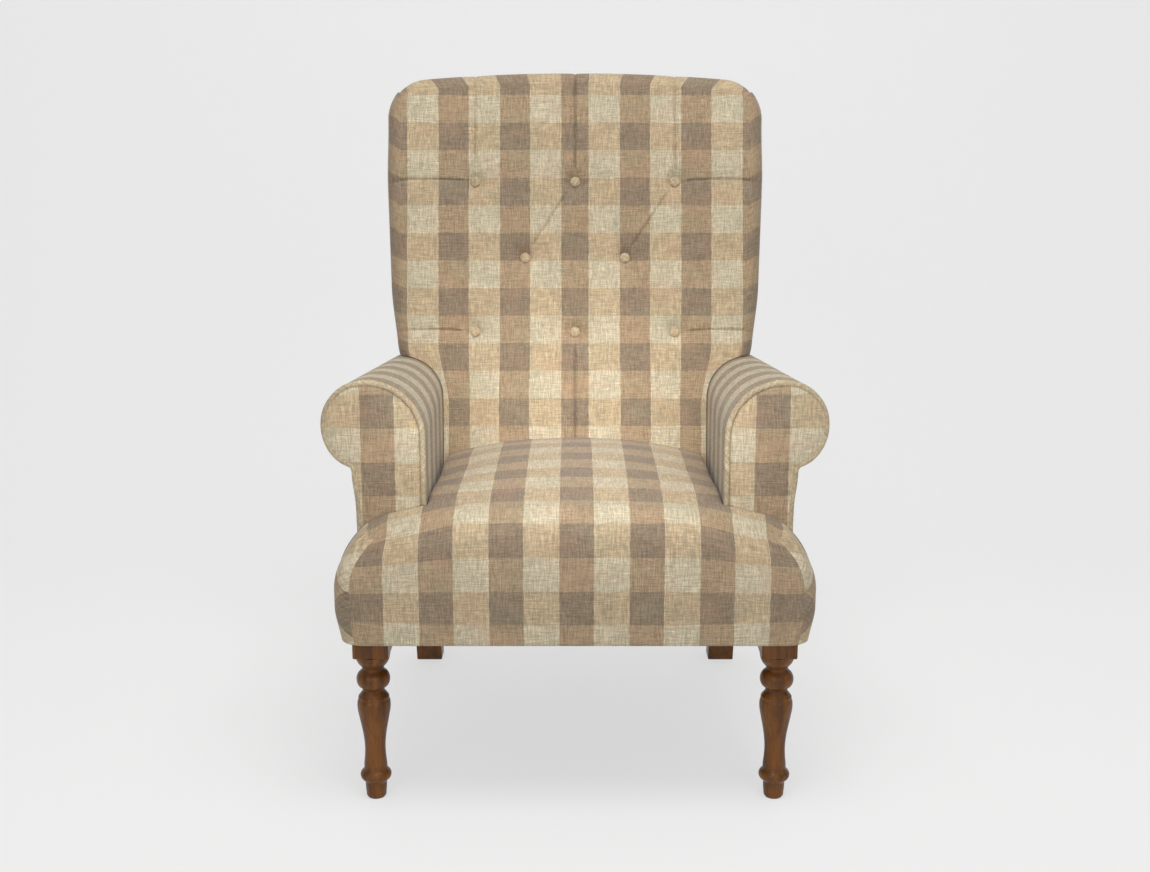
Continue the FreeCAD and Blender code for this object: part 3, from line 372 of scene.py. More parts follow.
# %% Shaders for cloth
def new_material(name, viewport):
    material = bpy.data.materials.new(name)
    material.use_nodes = True
    material.diffuse_color = srgb(viewport)
    tree = material.node_tree
    return material, tree, tree.nodes["Principled BSDF"]


def bumped(tree, shader, height, strength, distance):
    """Raise the surface by a height, at most by a distance in metres."""
    bump = add_node(tree, "ShaderNodeBump", {"Height": height, "Strength": strength, "Distance": distance})
    tree.links.new(bump.outputs[0], shader.inputs["Normal"])


def check_cloth(name, strength=1.0, drift=1.0, bands=0.0):
    """The woven check; a low strength fades it, and bands keeps its lying stripes alone."""
    material, tree, shader = new_material(name, "#a9987c")
    uv = add_node(tree, "ShaderNodeUVMap", {}, uv_map="cloth").outputs[0]
    cloth = add_node(tree, "ShaderNodeGroup", {}, node_tree=check)
    tree.links.new(uv, cloth.inputs["Place"])
    cloth.inputs["Check Strength"].default_value = strength
    cloth.inputs["Drift"].default_value = drift
    cloth.inputs["Bands Only"].default_value = bands
    tree.links.new(cloth.outputs["Color"], shader.inputs["Base Color"])
    tree.links.new(cloth.outputs["Roughness"], shader.inputs["Roughness"])
    bumped(tree, shader, cloth.outputs["Height"], 0.25, 0.0004)
    shader.inputs["Sheen Weight"].default_value = 0.12
    shader.inputs["Sheen Roughness"].default_value = 0.5
    shader.inputs["Specular IOR Level"].default_value = 0.25
    return material


def plain_weave(name, light, dark, per_metre, slub, roughness=0.9, bump=0.6):
    """Plain woven stuff: threads per metre, and the length of their thick places in metres."""
    material, tree, shader = new_material(name, light)
    uv = add_node(tree, "ShaderNodeUVMap", {}, uv_map="cloth").outputs[0]
    weave = add_node(tree, "ShaderNodeGroup", {}, node_tree=threads)
    tree.links.new(uv, weave.inputs["Place"])
    weave.inputs["Threads per Metre"].default_value = per_metre
    weave.inputs["Slub Length"].default_value = slub
    tone = mixed(tree, ranged(tree, weave.outputs["Across"], 0.35, 0.65), srgb(light), srgb(dark))
    tone = mixed(tree, ranged(tree, weave.outputs["Along"], 0.40, 0.65, 0.0, 0.6), tone, srgb(dark))
    tree.links.new(tone, shader.inputs["Base Color"])
    tree.links.new(ranged(tree, weave.outputs["Height"], 0.7, 1.3, roughness - 0.1, roughness),
                   shader.inputs["Roughness"])
    bumped(tree, shader, weave.outputs["Height"], bump, 0.0006)
    shader.inputs["Specular IOR Level"].default_value = 0.2
    return material


print("cloth shaders ready")


# %% Shader for beech
def beech(name, light, dark, turn=(0.0, 0.0, 0.0), coat=0.0):
    """Beech whose grain runs along Z after the turn, with a coat of polish."""
    material, tree, shader = new_material(name, light)
    place = add_node(tree, "ShaderNodeTexCoord").outputs["Object"]
    place = add_node(tree, "ShaderNodeMapping", {"Vector": place, "Rotation": turn}).outputs[0]
    wood = add_node(tree, "ShaderNodeGroup", {}, node_tree=grain)
    tree.links.new(place, wood.inputs["Place"])
    wood.inputs["Light"].default_value = srgb(light)
    wood.inputs["Dark"].default_value = srgb(dark)
    # The groove depth read here paints shade into the turned grooves.
    hollow = add_node(tree, "ShaderNodeAttribute", {}, attribute_name="hollow").outputs["Fac"]
    tree.links.new(hollow, wood.inputs["Groove Shade"])
    tree.links.new(wood.outputs["Color"], shader.inputs["Base Color"])
    tree.links.new(wood.outputs["Roughness"], shader.inputs["Roughness"])
    bumped(tree, shader, wood.outputs["Height"], 0.25, 0.0003)
    shader.inputs["Specular IOR Level"].default_value = 0.3
    shader.inputs["Coat Weight"].default_value = coat
    shader.inputs["Coat Roughness"].default_value = 0.25
    return material


print("beech shader ready")

# %% Materials
QUARTER = math.pi / 2
cover_cloth = check_cloth("woven check cloth")
banded_cloth = check_cloth("woven check cloth on the arms", strength=0.82, bands=0.85)
piping_cloth = check_cloth("piping cloth", strength=0.35)
polished_beech = beech("polished beech", "#794914", "#4e2c08", coat=0.04)
bare_beech = {"x": beech("bare beech along x", "#c9a77c", "#a98458", turn=(0.0, QUARTER, 0.0)),
              "y": beech("bare beech along y", "#c9a77c", "#a98458", turn=(QUARTER, 0.0, 0.0)),
              "z": beech("bare beech along z", "#c9a77c", "#a98458")}
jute = plain_weave("jute webbing", "#b39a6c", "#6f5632", 420.0, 0.03)
hessian_cloth = plain_weave("hessian", "#b49468", "#755a38", 300.0, 0.02)
stuffing_cloth = plain_weave("scrim over stuffing", "#cdc3a8", "#9a8d70", 260.0, 0.012)
twine_fibre = plain_weave("waxed twine", "#b8a27c", "#80694a", 900.0, 0.004, roughness=0.7)
cambric = plain_weave("black cambric", "#26252a", "#111013", 900.0, 0.03, roughness=0.85, bump=0.3)
print(len(bpy.data.materials), "materials")

# %% [markdown]
# ## Sewing patches together
# A cover is drawn as patches: grids of points with the cloth's own coordinates in metres at
# each point. Patches that share an edge are welded afterwards, so a fold line can change the
# direction of the check without opening the mesh. Grids are used because their rows and
# columns follow the cloth, which keeps the check straight and the shading even.

# %% Patches to pieces
WELD = 0.00003
SLIVER = 0.00001


def upholster(name, patches, material, node_names, shell=None, level=0):
    """Patches are (points in mm, cloth coordinates in mm, turned over) and make one piece."""
    points, faces, cloth = [], [], []
    for grid, sheet, turned in patches:
        rows, columns = grid.shape[:2]
        start = len(points)
        points.extend(to_frame(grid).reshape(-1, 3).tolist())
        flat = (np.asarray(sheet, float).reshape(-1, 2) * MM).tolist()
        for r in range(rows - 1):
            for c in range(columns - 1):
                a = r * columns + c
                corners = [a, a + 1, a + columns + 1, a + columns]
                if turned:
                    corners.reverse()
                faces.append([start + i for i in corners])
                cloth.extend(flat[i] for i in corners)
    mesh = bpy.data.meshes.new(name)
    mesh.from_pydata(points, [], faces)
    layer = mesh.uv_layers.new(name="cloth")
    layer.data.foreach_set("uv", np.array(cloth, float).ravel())
    work = bmesh.new()
    work.from_mesh(mesh)
    bmesh.ops.remove_doubles(work, verts=work.verts, dist=WELD)
    bmesh.ops.dissolve_degenerate(work, edges=work.edges, dist=SLIVER)
    for face in work.faces:
        face.smooth = True
    work.to_mesh(mesh)
    work.free()
    mesh.materials.append(material)
    piece = bpy.data.objects.new(name, mesh)
    bpy.context.scene.collection.objects.link(piece)
    if shell:
        thick = piece.modifiers.new("thickness", "SOLIDIFY")
        thick.thickness = shell * MM
        thick.offset = -1.0
        thick.use_even_offset = False
    if level:
        finer = piece.modifiers.new("finer", "SUBSURF")
        finer.levels = finer.render_levels = level
    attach(piece, "root")
    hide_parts(*node_names)
    print(name, len(mesh.polygons), "faces")
    return piece


print("points closer than", WELD, "m are welded")


# %% Mirrored patches and lengths of cloth
def mirror(patches):
    """The same patches for the other side of the chair; the check mirrors with them."""
    sides = []
    for grid, sheet, turned in patches:
        other = np.array(grid, float)
        other[..., 0] *= -1
        cloth = np.array(sheet, float)
        cloth[..., 0] *= -1
        sides.append((other, cloth, not turned))
    return sides


def run_length(grid, axis):
    """Distance along the rows or columns of a grid of points."""
    steps = np.linalg.norm(np.diff(grid, axis=axis), axis=-1)
    start = np.zeros_like(np.take(steps, [0], axis=axis))
    return np.concatenate([start, np.cumsum(steps, axis=axis)], axis=axis)


def lay_cloth(across, along):
    """Cloth coordinates from two distances in mm."""
    return np.stack([across, along], -1)


print("patch helpers ready")

# %% [markdown]
# ## Seat
# The seat is one domed cushion fixed to the frame, with an ear in front of each arm. On the
# real chair a single cloth runs from the hem up the front and over the crown, and a second
# piece is folded round each side of the ears, so the check lies on the slant there. Its form
# is described by what bounds it: a front, two sides and a crowned top, each rounded into the
# next by its own radius. Rays from inside find where that rounded form is.

# %% Seat form
SEAT_FRONT = -51.5
SIDE_HALF = 347.5
SEAT_HEM = 253.6
EAR_BACK = 25.6
SEAT_REAR = 446.0
FRONT_ROUND = 40.0
PLAN_ROUND = 37.0
EAR_ROUND = 74.0
FOLD_AT = 318.0
BETWEEN_ARMS = 214.0
CROWN_Y = (-60, -5, 45, 95, 194, 330, 460)
CROWN_Z = (452, 456, 463.5, 467, 471, 467, 452)
DROP_Y = (-60, 100, 210, 340, 460)
DROP_Z = (18, 24, 38, 33, 30)
DROP_AT = 225
HEM_TUCK = 9.5
FRONT_BULGE = 1.8
BULGE_TALL = 190
EAR_FADE = (150, 320)


def round_join(a, b, radius):
    """Inside is negative; where two sides meet they are joined by a round of that radius."""
    outside = np.hypot(np.maximum(a + radius, 0), np.maximum(b + radius, 0)) - radius
    return np.where((a > -radius) & (b > -radius), outside, np.maximum(a, b))


def seat_top(x, y):
    """The crown along the middle line, less its drop towards the sides."""
    return through(CROWN_Y, CROWN_Z, y) - through(DROP_Y, DROP_Z, y) * (np.abs(x) / DROP_AT) ** 2.3


def seat_inside(p):
    """Below zero inside the rounded seat and above zero outside it."""
    x, y, z = np.abs(p[..., 0]), p[..., 1], p[..., 2]
    half = SIDE_HALF - HEM_TUCK * (1 - smooth_step(SEAT_HEM - 12, SEAT_HEM + 50, z))
    bulge = FRONT_BULGE * np.sin(np.clip((z - SEAT_HEM) / BULGE_TALL, 0, 1) * math.pi)
    wall = round_join(x - half, SEAT_FRONT + FRONT_BULGE - bulge - y, PLAN_ROUND)
    rounding = FRONT_ROUND + (EAR_ROUND - FRONT_ROUND) * smooth_step(*EAR_FADE, x)
    return round_join(wall, z - seat_top(x, y), rounding)


print("the seat is", round(float(seat_top(0.0, 194.0)), 1), "mm high in the middle")

# %% Rays onto the seat
CORE_HALF = SIDE_HALF - EAR_ROUND - 8
CORE_FRONT = SEAT_FRONT + PLAN_ROUND + 6
CORE_TOP = CROWN_Z[0] - EAR_ROUND - 26
FURTHEST = 1.6


def onto_seat(x, y, z):
    """The seat's surface along the line from its core through points of the box around it."""
    outer = np.stack(np.broadcast_arrays(x, y, z), -1).astype(float)
    core = outer.copy()
    core[..., 0] = np.clip(outer[..., 0], -CORE_HALF, CORE_HALF)
    core[..., 1] = np.maximum(outer[..., 1], CORE_FRONT)
    core[..., 2] = np.minimum(outer[..., 2], CORE_TOP)
    near, far = np.zeros(outer.shape[:-1]), np.full(outer.shape[:-1], FURTHEST)
    for _ in range(32):
        middle = (near + far) / 2
        inside = seat_inside(core + (outer - core) * middle[..., None]) < 0
        near, far = np.where(inside, middle, near), np.where(inside, far, middle)
    return core + (outer - core) * near[..., None]


print("rays start from a core", 2 * CORE_HALF, "mm wide")

# %% Grids of the seat
SEAT_LID = 500.0
FRONT_SPLIT = 400
EAR_COLUMNS = 34
columns = np.concatenate([np.linspace(-SIDE_HALF, -BETWEEN_ARMS, EAR_COLUMNS),
                          np.linspace(-BETWEEN_ARMS, BETWEEN_ARMS, 90)[1:-1],
                          np.linspace(BETWEEN_ARMS, SIDE_HALF, EAR_COLUMNS)])
inner = slice(EAR_COLUMNS - 1, len(columns) - EAR_COLUMNS + 1)
front_z = np.concatenate([np.linspace(SEAT_HEM, FRONT_SPLIT, 36),
                          np.linspace(FRONT_SPLIT, SEAT_LID, 20)[1:]])
ear_y = np.linspace(SEAT_FRONT, EAR_BACK, 26)
rest_y = np.linspace(EAR_BACK, SEAT_REAR, 80)
front_grid = onto_seat(columns[None, :], SEAT_FRONT, front_z[:, None])
ear_grid = onto_seat(columns[None, :], ear_y[:, None], SEAT_LID)
rest_grid = onto_seat(columns[None, inner], rest_y[:, None], SEAT_LID)
side_grid = onto_seat(SIDE_HALF, ear_y[None, :], front_z[:, None])
print("seat crown", round(float(rest_grid[..., 2].max()), 1), "mm")
print("seat width", round(2 * float(side_grid[..., 0].max()), 1), "mm")

# %% [markdown]
# Towards the ears its rows lie closer together, and past the fold line the separate side
# pieces lie on the slant. The fold is where one cloth's coordinates stop and the other's
# begin, with the points shared.

# %% Check on the seat
CHECK_START = 31.4
EAR_START = 4.8
EAR_STRETCH = 1.12
EAR_CURVE = 0.0013
CROWN_FADE = (190, 260)
SLANT_CENTRE = (4.0, 352.0)
SLANT = 0.7071
whole = np.concatenate([front_grid, ear_grid[1:]])
straight = run_length(whole, 0) - CHECK_START
across = run_length(whole, 1)
across -= across[:, [len(columns) // 2]]
above = straight - EAR_START
drawn = EAR_STRETCH * above + EAR_CURVE * above ** 2 * (straight > EAR_START)
on_ears = smooth_step(*EAR_FADE, np.abs(across))
below_crown = 1 - smooth_step(*CROWN_FADE, straight)
along = straight + (drawn - straight) * on_ears * below_crown
front_rows = len(front_z)
front_cloth = lay_cloth(across[:front_rows], along[:front_rows])
ear_cloth = lay_cloth(across[front_rows - 1:], along[front_rows - 1:])
rest_along = run_length(rest_grid, 0) + straight[-1, inner]
rest_across = run_length(rest_grid, 1)
rest_across -= rest_across[:, [rest_across.shape[1] // 2]]
rest_cloth = lay_cloth(rest_across, rest_along)


print("the check runs", round(float(along.max())), "mm up the front and over the ears")


# %% Patches of the seat
def slanted(grid, side):
    """Cloth coordinates of the side pieces, whose check lies at forty five degrees."""
    y, z = grid[..., 1] - SLANT_CENTRE[0], grid[..., 2] - SLANT_CENTRE[1]
    return lay_cloth(side * (y - z) * SLANT, (y + z) * SLANT)


def fold_column(across_here, side):
    """The column of the grid that runs along a side's fold line."""
    return int(np.argmin(np.abs(np.median(side * across_here, axis=0) - FOLD_AT)))


def seat_patches():
    """The front, crown and sides, with the front cut at its two fold lines."""
    made = []
    for grid, cloth, across_here in ((front_grid, front_cloth, across[:front_rows]),
                                     (ear_grid, ear_cloth, across[front_rows - 1:])):
        left, right = fold_column(across_here, -1), fold_column(across_here, 1)
        made.append((grid[:, left:right + 1], cloth[:, left:right + 1], False))
        made.append((grid[:, :left + 1], slanted(grid[:, :left + 1], -1), False))
        made.append((grid[:, right:], slanted(grid[:, right:], 1), False))
    made.append((rest_grid, rest_cloth, False))
    made.append((side_grid, slanted(side_grid, 1), False))
    left_side = side_grid * np.array([-1, 1, 1])
    made.append((left_side, slanted(left_side, -1), True))
    return made


print(len(seat_patches()), "patches for front, top and sides")

# %% Backs of the ears and the seat cover
LEDGE_BACK = 34.9
TUCK_DEPTHS = np.array([0, 3, 9, 18, 34])
TUCK_LEAN = 0.02
UNDER_TURN = (0, 14.0, 0.2)
UNDER_NARROW = (0.985, 1, 1)


def ear_backs():
    """The back of each ear, down behind the facing, and the tuck of the cloth beside the arms."""
    made = []
    for side in (-1, 1):
        top = ear_grid[-1, -EAR_COLUMNS:] if side > 0 else ear_grid[-1, :EAR_COLUMNS][::-1]
        near_x, far_x = abs(top[0, 0]), abs(top[-1, 0])
        steps = [(share, EAR_BACK) for share in np.linspace(0, 1, 10)]
        steps += [(share, LEDGE_BACK) for share in np.linspace(1, 2, 9)]
        levels = []
        for share, y_here in steps:
            level = top.copy()
            to_ledge, below = min(share, 1), max(share - 1, 0)
            level[:, 2] += (RAIL_TOP - top[:, 2]) * to_ledge + (SEAT_HEM - RAIL_TOP) * below
            reach = np.interp(level[-1, 2], side_grid[:, -1, 2], side_grid[:, -1, 0])
            outward = (np.abs(top[:, 0]) - near_x) * (reach - near_x) / (far_x - near_x)
            level[:, 0] = side * (near_x + outward)
            level[:, 1] = y_here
            levels.append(np.concatenate([level, [[level[-1, 0], EAR_BACK, level[-1, 2]]]]))
        grid = np.stack(levels)
        made.append((grid, lay_cloth(grid[..., 0], grid[..., 2]), side < 0))
        edge = rest_grid[:, -1 if side > 0 else 0]
        down = np.stack([edge + np.array([side * sink * TUCK_LEAN, 0, -sink]) for sink in TUCK_DEPTHS], 1)
        cloth = lay_cloth(edge[:, None, 0] + side * TUCK_DEPTHS[None, :], down[..., 1])
        made.append((down, cloth, side < 0))
    hem_line = front_grid[0]
    under = np.stack([hem_line, hem_line * np.array(UNDER_NARROW) + np.array(UNDER_TURN)])
    made.append((under, lay_cloth(under[..., 0], under[..., 1]), True))
    return made


seat_cover = upholster("seat_cover_cloth", seat_patches() + ear_backs(), cover_cloth,
                       ["seat_cover"], shell=1.6)

# %% [markdown]
# ## Tufted inside back
# The back is a thick pad that eight buttons draw in. Between the buttons the spare cloth is
# folded into pleats: straight up from the top row, straight down from the bottom row, across to
# the sides and in diamonds between. A fold is a narrow crease in a wide shallow valley, so it
# is drawn as a depth that depends on the distance to the line between two buttons. The
# front is a grid whose outline is a rounded rectangle that narrows where the arms stand.

# %% Back sizes
BACK_TOP = 660.0
BACK_FOOT = -58.0
BACK_HALF = (299.0, 325.0)
BACK_HALF_AT = 650.0
BACK_CORNER = 66.0
BACK_DROP = 17.0
SIDE_SWELL = 8.0
SWELL_RISE = (170, 290)
SWELL_FADE = (470, 600)
SWELL_LOST = 0.65
SWELL_DEPTH = (60.0, 96.0)
ROLL_DEPTH = 42.0
ROLL_INSET = 26.0
PULL_FADE = (80.0, 190.0)
PULL_AT = (0, 160, 185, 236, 290, 340)
PULL = (0, 0, 2.5, 18, 28, 34)
SPREAD = 172.0
TOP_ROW = 467.0
MIDDLE_ROW = 336.0
LOW_ROW = 208.0
BUTTON_ROWS = ((TOP_ROW, (-SPREAD, 0.0, SPREAD)), (MIDDLE_ROW, (-SPREAD / 2, SPREAD / 2)),
               (LOW_ROW, (-SPREAD, 0.0, SPREAD)))
BUTTON_PLACES = [(x, rise) for rise, row in BUTTON_ROWS for x in row]
BUTTON_RADIUS = 8.6
TUFT_FLOOR = 12.5


print(len(BUTTON_PLACES), "buttons, pad", 2 * BACK_HALF[1], "mm wide")


# %% Outline of the pad
def arm_limit(y, z, gap):
    """How far out the pad may reach at a height before it meets the arm's roll."""
    inside = at(ARM_INNER, y)
    roll = at(ARM_ROLL, y) + gap
    top = at(ARM_TOP, y)
    up = np.clip(z - (top - at(ARM_ROLL, y)), 0.0, roll)
    over = inside + at(ARM_ROLL, y) - np.sqrt(np.maximum(roll ** 2 - up ** 2, 0.0))
    return np.where(z < top + gap, over, 1000.0)


def back_half(rise, inset):
    """Half the pad's width at a height up the leaning back."""
    share = (rise - BACK_FOOT) / (BACK_HALF_AT - BACK_FOOT)
    return BACK_HALF[0] + (BACK_HALF[1] - BACK_HALF[0]) * share - inset


def back_point(a, b, inset, depth):
    """A point of the pad: a from side to side and b from foot to top, both from -1 to 1."""
    rise = BACK_FOOT + (b + 1) / 2 * (BACK_TOP - inset - BACK_FOOT)
    swell = smooth_step(*SWELL_RISE, rise) * (1 - SWELL_LOST * smooth_step(*SWELL_FADE, rise))
    in_front = 1 - smooth_step(*SWELL_DEPTH, np.asarray(depth))
    x = a * (back_half(rise, inset) + SIDE_SWELL * swell * in_front)
    corner = BACK_CORNER - inset
    top = BACK_TOP - inset
    core_x = np.clip(x, -(back_half(rise, inset) - corner), back_half(rise, inset) - corner)
    core_rise = np.minimum(rise, top - corner)
    reach = np.maximum(np.abs(x - core_x), np.abs(rise - core_rise))
    length = np.hypot(x - core_x, rise - core_rise)
    shrink = np.where(length > 1e-6, reach / np.maximum(length, 1e-6), 1.0)
    rounded = (np.abs(x - core_x) > 0) & (rise > core_rise)
    x = np.where(rounded, core_x + (x - core_x) * shrink, x)
    rise = np.where(rounded, core_rise + (rise - core_rise) * shrink, rise)
    rise = rise - BACK_DROP * (x / BACK_HALF[1]) ** 2 * smooth_step(300, top, rise)
    return x, rise


def drawn_aside(x, rise, depth=0.0, slack=1.2):
    """Beside the arms the cloth is drawn towards the middle, and no further out than they allow."""
    away = np.abs(x)
    pull = 1 - smooth_step(*PULL_FADE, rise)
    shift = through(PULL_AT, PULL, away)
    moved = np.sign(x) * (away - shift * pull)
    place = lean_back(moved, depth, rise)
    limit = arm_limit(place[..., 1], place[..., 2], slack)
    return np.clip(moved, -limit, limit)


print("the pad's foot is", round(2 * back_half(BACK_FOOT, 0.0)), "mm wide")

# %% Pleats
CREASE_HALF = 1.9
VALLEY_HALF = 20.0
FOLD_END = 5.0


def fold(x, rise, start, end, arch=0.0, crease=4.0, swell=2.0):
    """How deep the cloth lies beside a pleat that runs from one point of the front to another:
    a narrow crease in a wide shallow valley."""
    (x0, r0), (x1, r1) = start, end
    run = math.hypot(x1 - x0, r1 - r0)
    along = ((x - x0) * (x1 - x0) + (rise - r0) * (r1 - r0)) / run
    aside = ((x - x0) * (r1 - r0) - (rise - r0) * (x1 - x0)) / run
    share = np.clip(along / run, 0, 1)
    aside = aside - arch * np.sin(share * math.pi)
    beyond = np.maximum(np.maximum(-along, along - run), 0)
    narrow = crease * np.exp(-(np.abs(aside) / CREASE_HALF) ** 1.3)
    wide = swell * np.exp(-(aside / VALLEY_HALF) ** 2)
    return (narrow + wide) * np.exp(-(beyond / FOLD_END) ** 2)


print("a pleat lies", round(float(fold(0.0, 0.0, (0.0, -9.0), (0.0, 9.0))), 1), "mm deep along its line")

# %% Tufts
TOP_CREASES = (4.6, 5.6, 4.6)
FOOT_CREASES = (0.8, 5.6, 0.8)
SIDE_CREASE = 4.4
SIDE_BOW = 5.0
SIDE_END = 345.0
SIDE_FALL = 3.0
FAINT_DIAGONAL = 0.6
CLEAR_DIAGONALS = {(-SPREAD / 2, TOP_ROW, 0.0): 5.4, (SPREAD / 2, TOP_ROW, SPREAD): 5.4,
                   (-SPREAD / 2, LOW_ROW, 0.0): 2.2, (SPREAD / 2, LOW_ROW, SPREAD): 2.2}
HOLLOW_DEEP = 8.2
HOLLOW_WIDE = 9.5
DISH_DEEP = 4.6
DISH_WIDE = 34.0
PLAIN_PROUD = 1.1


def tuft_depth(x, rise):
    """How far the front lies behind its plane, drawn in by buttons and pleats."""
    valleys = []
    (top_rise, top_row), (mid_rise, mid_row), (low_rise, low_row) = BUTTON_ROWS
    for bx, crease in zip(top_row, TOP_CREASES):
        valleys.append(fold(x, rise, (bx, top_rise), (bx, BACK_TOP + 30), crease=crease, swell=2.4))
    for bx, crease in zip(low_row, FOOT_CREASES):
        valleys.append(fold(x, rise, (bx, low_rise), (bx, BACK_FOOT), crease=crease, swell=1.6))
    for level in (top_rise, low_rise):
        for side in (-1, 1):
            ends = ((side * SPREAD, level), (side * SIDE_END, level - SIDE_FALL))
            valleys.append(fold(x, rise, *ends, arch=-side * SIDE_BOW, crease=SIDE_CREASE, swell=2.6))
    for bx in mid_row:
        for level, row in ((top_rise, top_row), (low_rise, low_row)):
            for near in row:
                if abs(near - bx) < SPREAD:
                    sharp = CLEAR_DIAGONALS.get((bx, level, near), FAINT_DIAGONAL)
                    valleys.append(fold(x, rise, (bx, mid_rise), (near, level), crease=sharp, swell=1.8))
    for bx, rise_b in BUTTON_PLACES:
        away = np.hypot(x - bx, rise - rise_b)
        near = np.maximum(away - BUTTON_RADIUS - 0.6, 0)
        hollow = HOLLOW_DEEP * np.exp(-near / HOLLOW_WIDE)
        dish = DISH_DEEP * np.exp(-(away / DISH_WIDE) ** 2)
        valleys.append(np.minimum(hollow + dish, TUFT_FLOOR))
    return np.max(valleys, axis=0) - PLAIN_PROUD


print("a button draws the cloth in by", round(float(tuft_depth(0.0, TOP_ROW)), 1), "mm")

# %% Inside back
def crowded(places, count, width, extra):
    """Positions from -1 to 1 that crowd together near some places, where creases run."""
    fine = np.linspace(-1, 1, 4001)
    weight = 1 + extra * np.sum([np.exp(-((fine - p) / width) ** 2) for p in places], axis=0)
    share = np.concatenate([[0], np.cumsum((weight[1:] + weight[:-1]) / 2)])
    return np.interp(np.linspace(0, share[-1], count), share, fine)


CLOTH_ACROSS = 0.947
CLOTH_SPREAD = 2.4
CLOTH_START = 45.6
CLOTH_ALONG = 1.0545
front_half = BACK_HALF[1] - ROLL_INSET
front_tall = BACK_TOP - ROLL_INSET - BACK_FOOT
lines_x = [0.0, -SPREAD / front_half, SPREAD / front_half, -1.0, 1.0]
lines_rise = [(row[0] - BACK_FOOT) / front_tall * 2 - 1 for row in BUTTON_ROWS] + [1.0]
a = crowded(lines_x, count=321, width=0.022, extra=2.2)
b = crowded(lines_rise, count=361, width=0.02, extra=1.6)
x, rise = back_point(a[None, :], b[:, None], ROLL_INSET, 0.0)
front = lean_back(drawn_aside(x, rise), tuft_depth(x, rise), rise)
apart = CLOTH_SPREAD * np.sign(x) * smooth_step(0, 20, np.abs(x))
back_cloth = lay_cloth(CLOTH_ACROSS * x + apart, (rise - CLOTH_START) * CLOTH_ALONG)
print("front of the pad:", front.shape[0], "by", front.shape[1], "points")

# %% Rolled edge of the back
ROLL_STEPS = 9
edge_a = np.concatenate([np.full(len(b), a[0]), a[1:], np.full(len(b) - 1, a[-1])])
edge_b = np.concatenate([b, np.full(len(a) - 1, b[-1]), b[::-1][1:]])
on_top = edge_b >= b[-1] - 1e-9
corner_share = np.where(on_top, smooth_step(0.86, 1.0, np.abs(edge_a)), 1 - smooth_step(0.90, 1.0, edge_b))
stations = [(ROLL_INSET * (1 - math.sin(t)), ROLL_DEPTH * (1 - math.cos(t)))
            for t in np.linspace(0, math.pi / 2, ROLL_STEPS)]
stations += [(0.0, 60.0), (0.8, 80.0), (2.0, BACK_PAD + POST_DEPTH * math.cos(LEAN) - 2.0), (5.0, 98.6)]
rings = []
for number, (inset, depth_here) in enumerate(stations):
    x_here, rise_here = back_point(edge_a, edge_b, inset, depth_here)
    soft = tuft_depth(x_here, rise_here) * max(0.0, 1 - number / ROLL_STEPS)
    x_here = drawn_aside(x_here, rise_here, depth_here)
    squash = soft * (number / ROLL_STEPS) * on_top * (1 - corner_share)
    rings.append(lean_back(x_here, depth_here + soft, rise_here - squash))
edge_grid = np.stack(rings)
run = run_length(edge_grid, 0)
edge_x, edge_rise = back_point(edge_a, edge_b, ROLL_INSET, 0.0)
outward_x = np.sign(edge_a) * corner_share
outward_rise = 1 - corner_share
edge_cloth = lay_cloth(CLOTH_ACROSS * edge_x + CLOTH_SPREAD * np.sign(edge_x) + run * outward_x,
                       (edge_rise - CLOTH_START) * CLOTH_ALONG + run * outward_rise)
inside_back = upholster("inside_back_cloth", [(front, back_cloth, False), (edge_grid, edge_cloth, False)],
                        cover_cloth, ["inside_back"], shell=1.6)

# %% [markdown]
# Each button is a metal shell with a scrap of the same cloth drawn over it. It sits in the
# bottom of its tuft, and its twine runs back through the stuffing to the hessian.

# %% Buttons and twines
BUTTON_RIM = 2.2
BUTTON_DOME = 2.6
TWINE = 1.2
AXIS = 0.01


def turned_form(profile, sides, centre):
    """Rings of (radius, depth) about an axis square to the leaning back."""
    angle = np.linspace(0, 2 * math.pi, sides + 1)
    radius = np.array([p[0] for p in profile])[:, None]
    depth_here = np.array([p[1] for p in profile])[:, None]
    x_here = centre[0] + radius * np.cos(angle)[None, :]
    rise_here = centre[1] + radius * np.sin(angle)[None, :]
    return lean_back(x_here, depth_here + 0 * x_here, rise_here), x_here, rise_here


dome = [(AXIS, TUFT_FLOOR - BUTTON_RIM - BUTTON_DOME)]
for t in np.linspace(0.12, 1.0, 9) * math.pi / 2:
    dome.append((BUTTON_RADIUS * math.sin(t), TUFT_FLOOR - BUTTON_RIM - BUTTON_DOME * math.cos(t)))
dome += [(BUTTON_RADIUS - 0.5, TUFT_FLOOR - 0.6), (BUTTON_RADIUS - 1.6, TUFT_FLOOR), (AXIS, TUFT_FLOOR)]
cord_line = [(TWINE, TUFT_FLOOR), (TWINE, 30.0), (TWINE, BACK_PAD - 5.2), (AXIS, BACK_PAD - 5.0)]
button_patches, twine_patches = [], []
for number, (bx, brise) in enumerate(BUTTON_PLACES):
    grid, grid_x, grid_rise = turned_form(dome, 32, (bx, brise))
    turn = 0.5 * number
    flat_x, flat_rise = grid_x - bx, grid_rise - brise
    cloth = lay_cloth(flat_x * math.cos(turn) - flat_rise * math.sin(turn) + 50.0,
                      flat_x * math.sin(turn) + flat_rise * math.cos(turn) + 25.0 + 100 * number)
    button_patches.append((grid, cloth, True))
    grid, grid_x, grid_rise = turned_form(cord_line, 10, (bx, brise))
    twine_patches.append((grid, lay_cloth(grid_x, grid[..., 1]), False))
buttons = upholster("covered_buttons", button_patches, cover_cloth, ["back_buttons"])
upholster("button_twine_ties", twine_patches, twine_fibre, ["button_twines"])

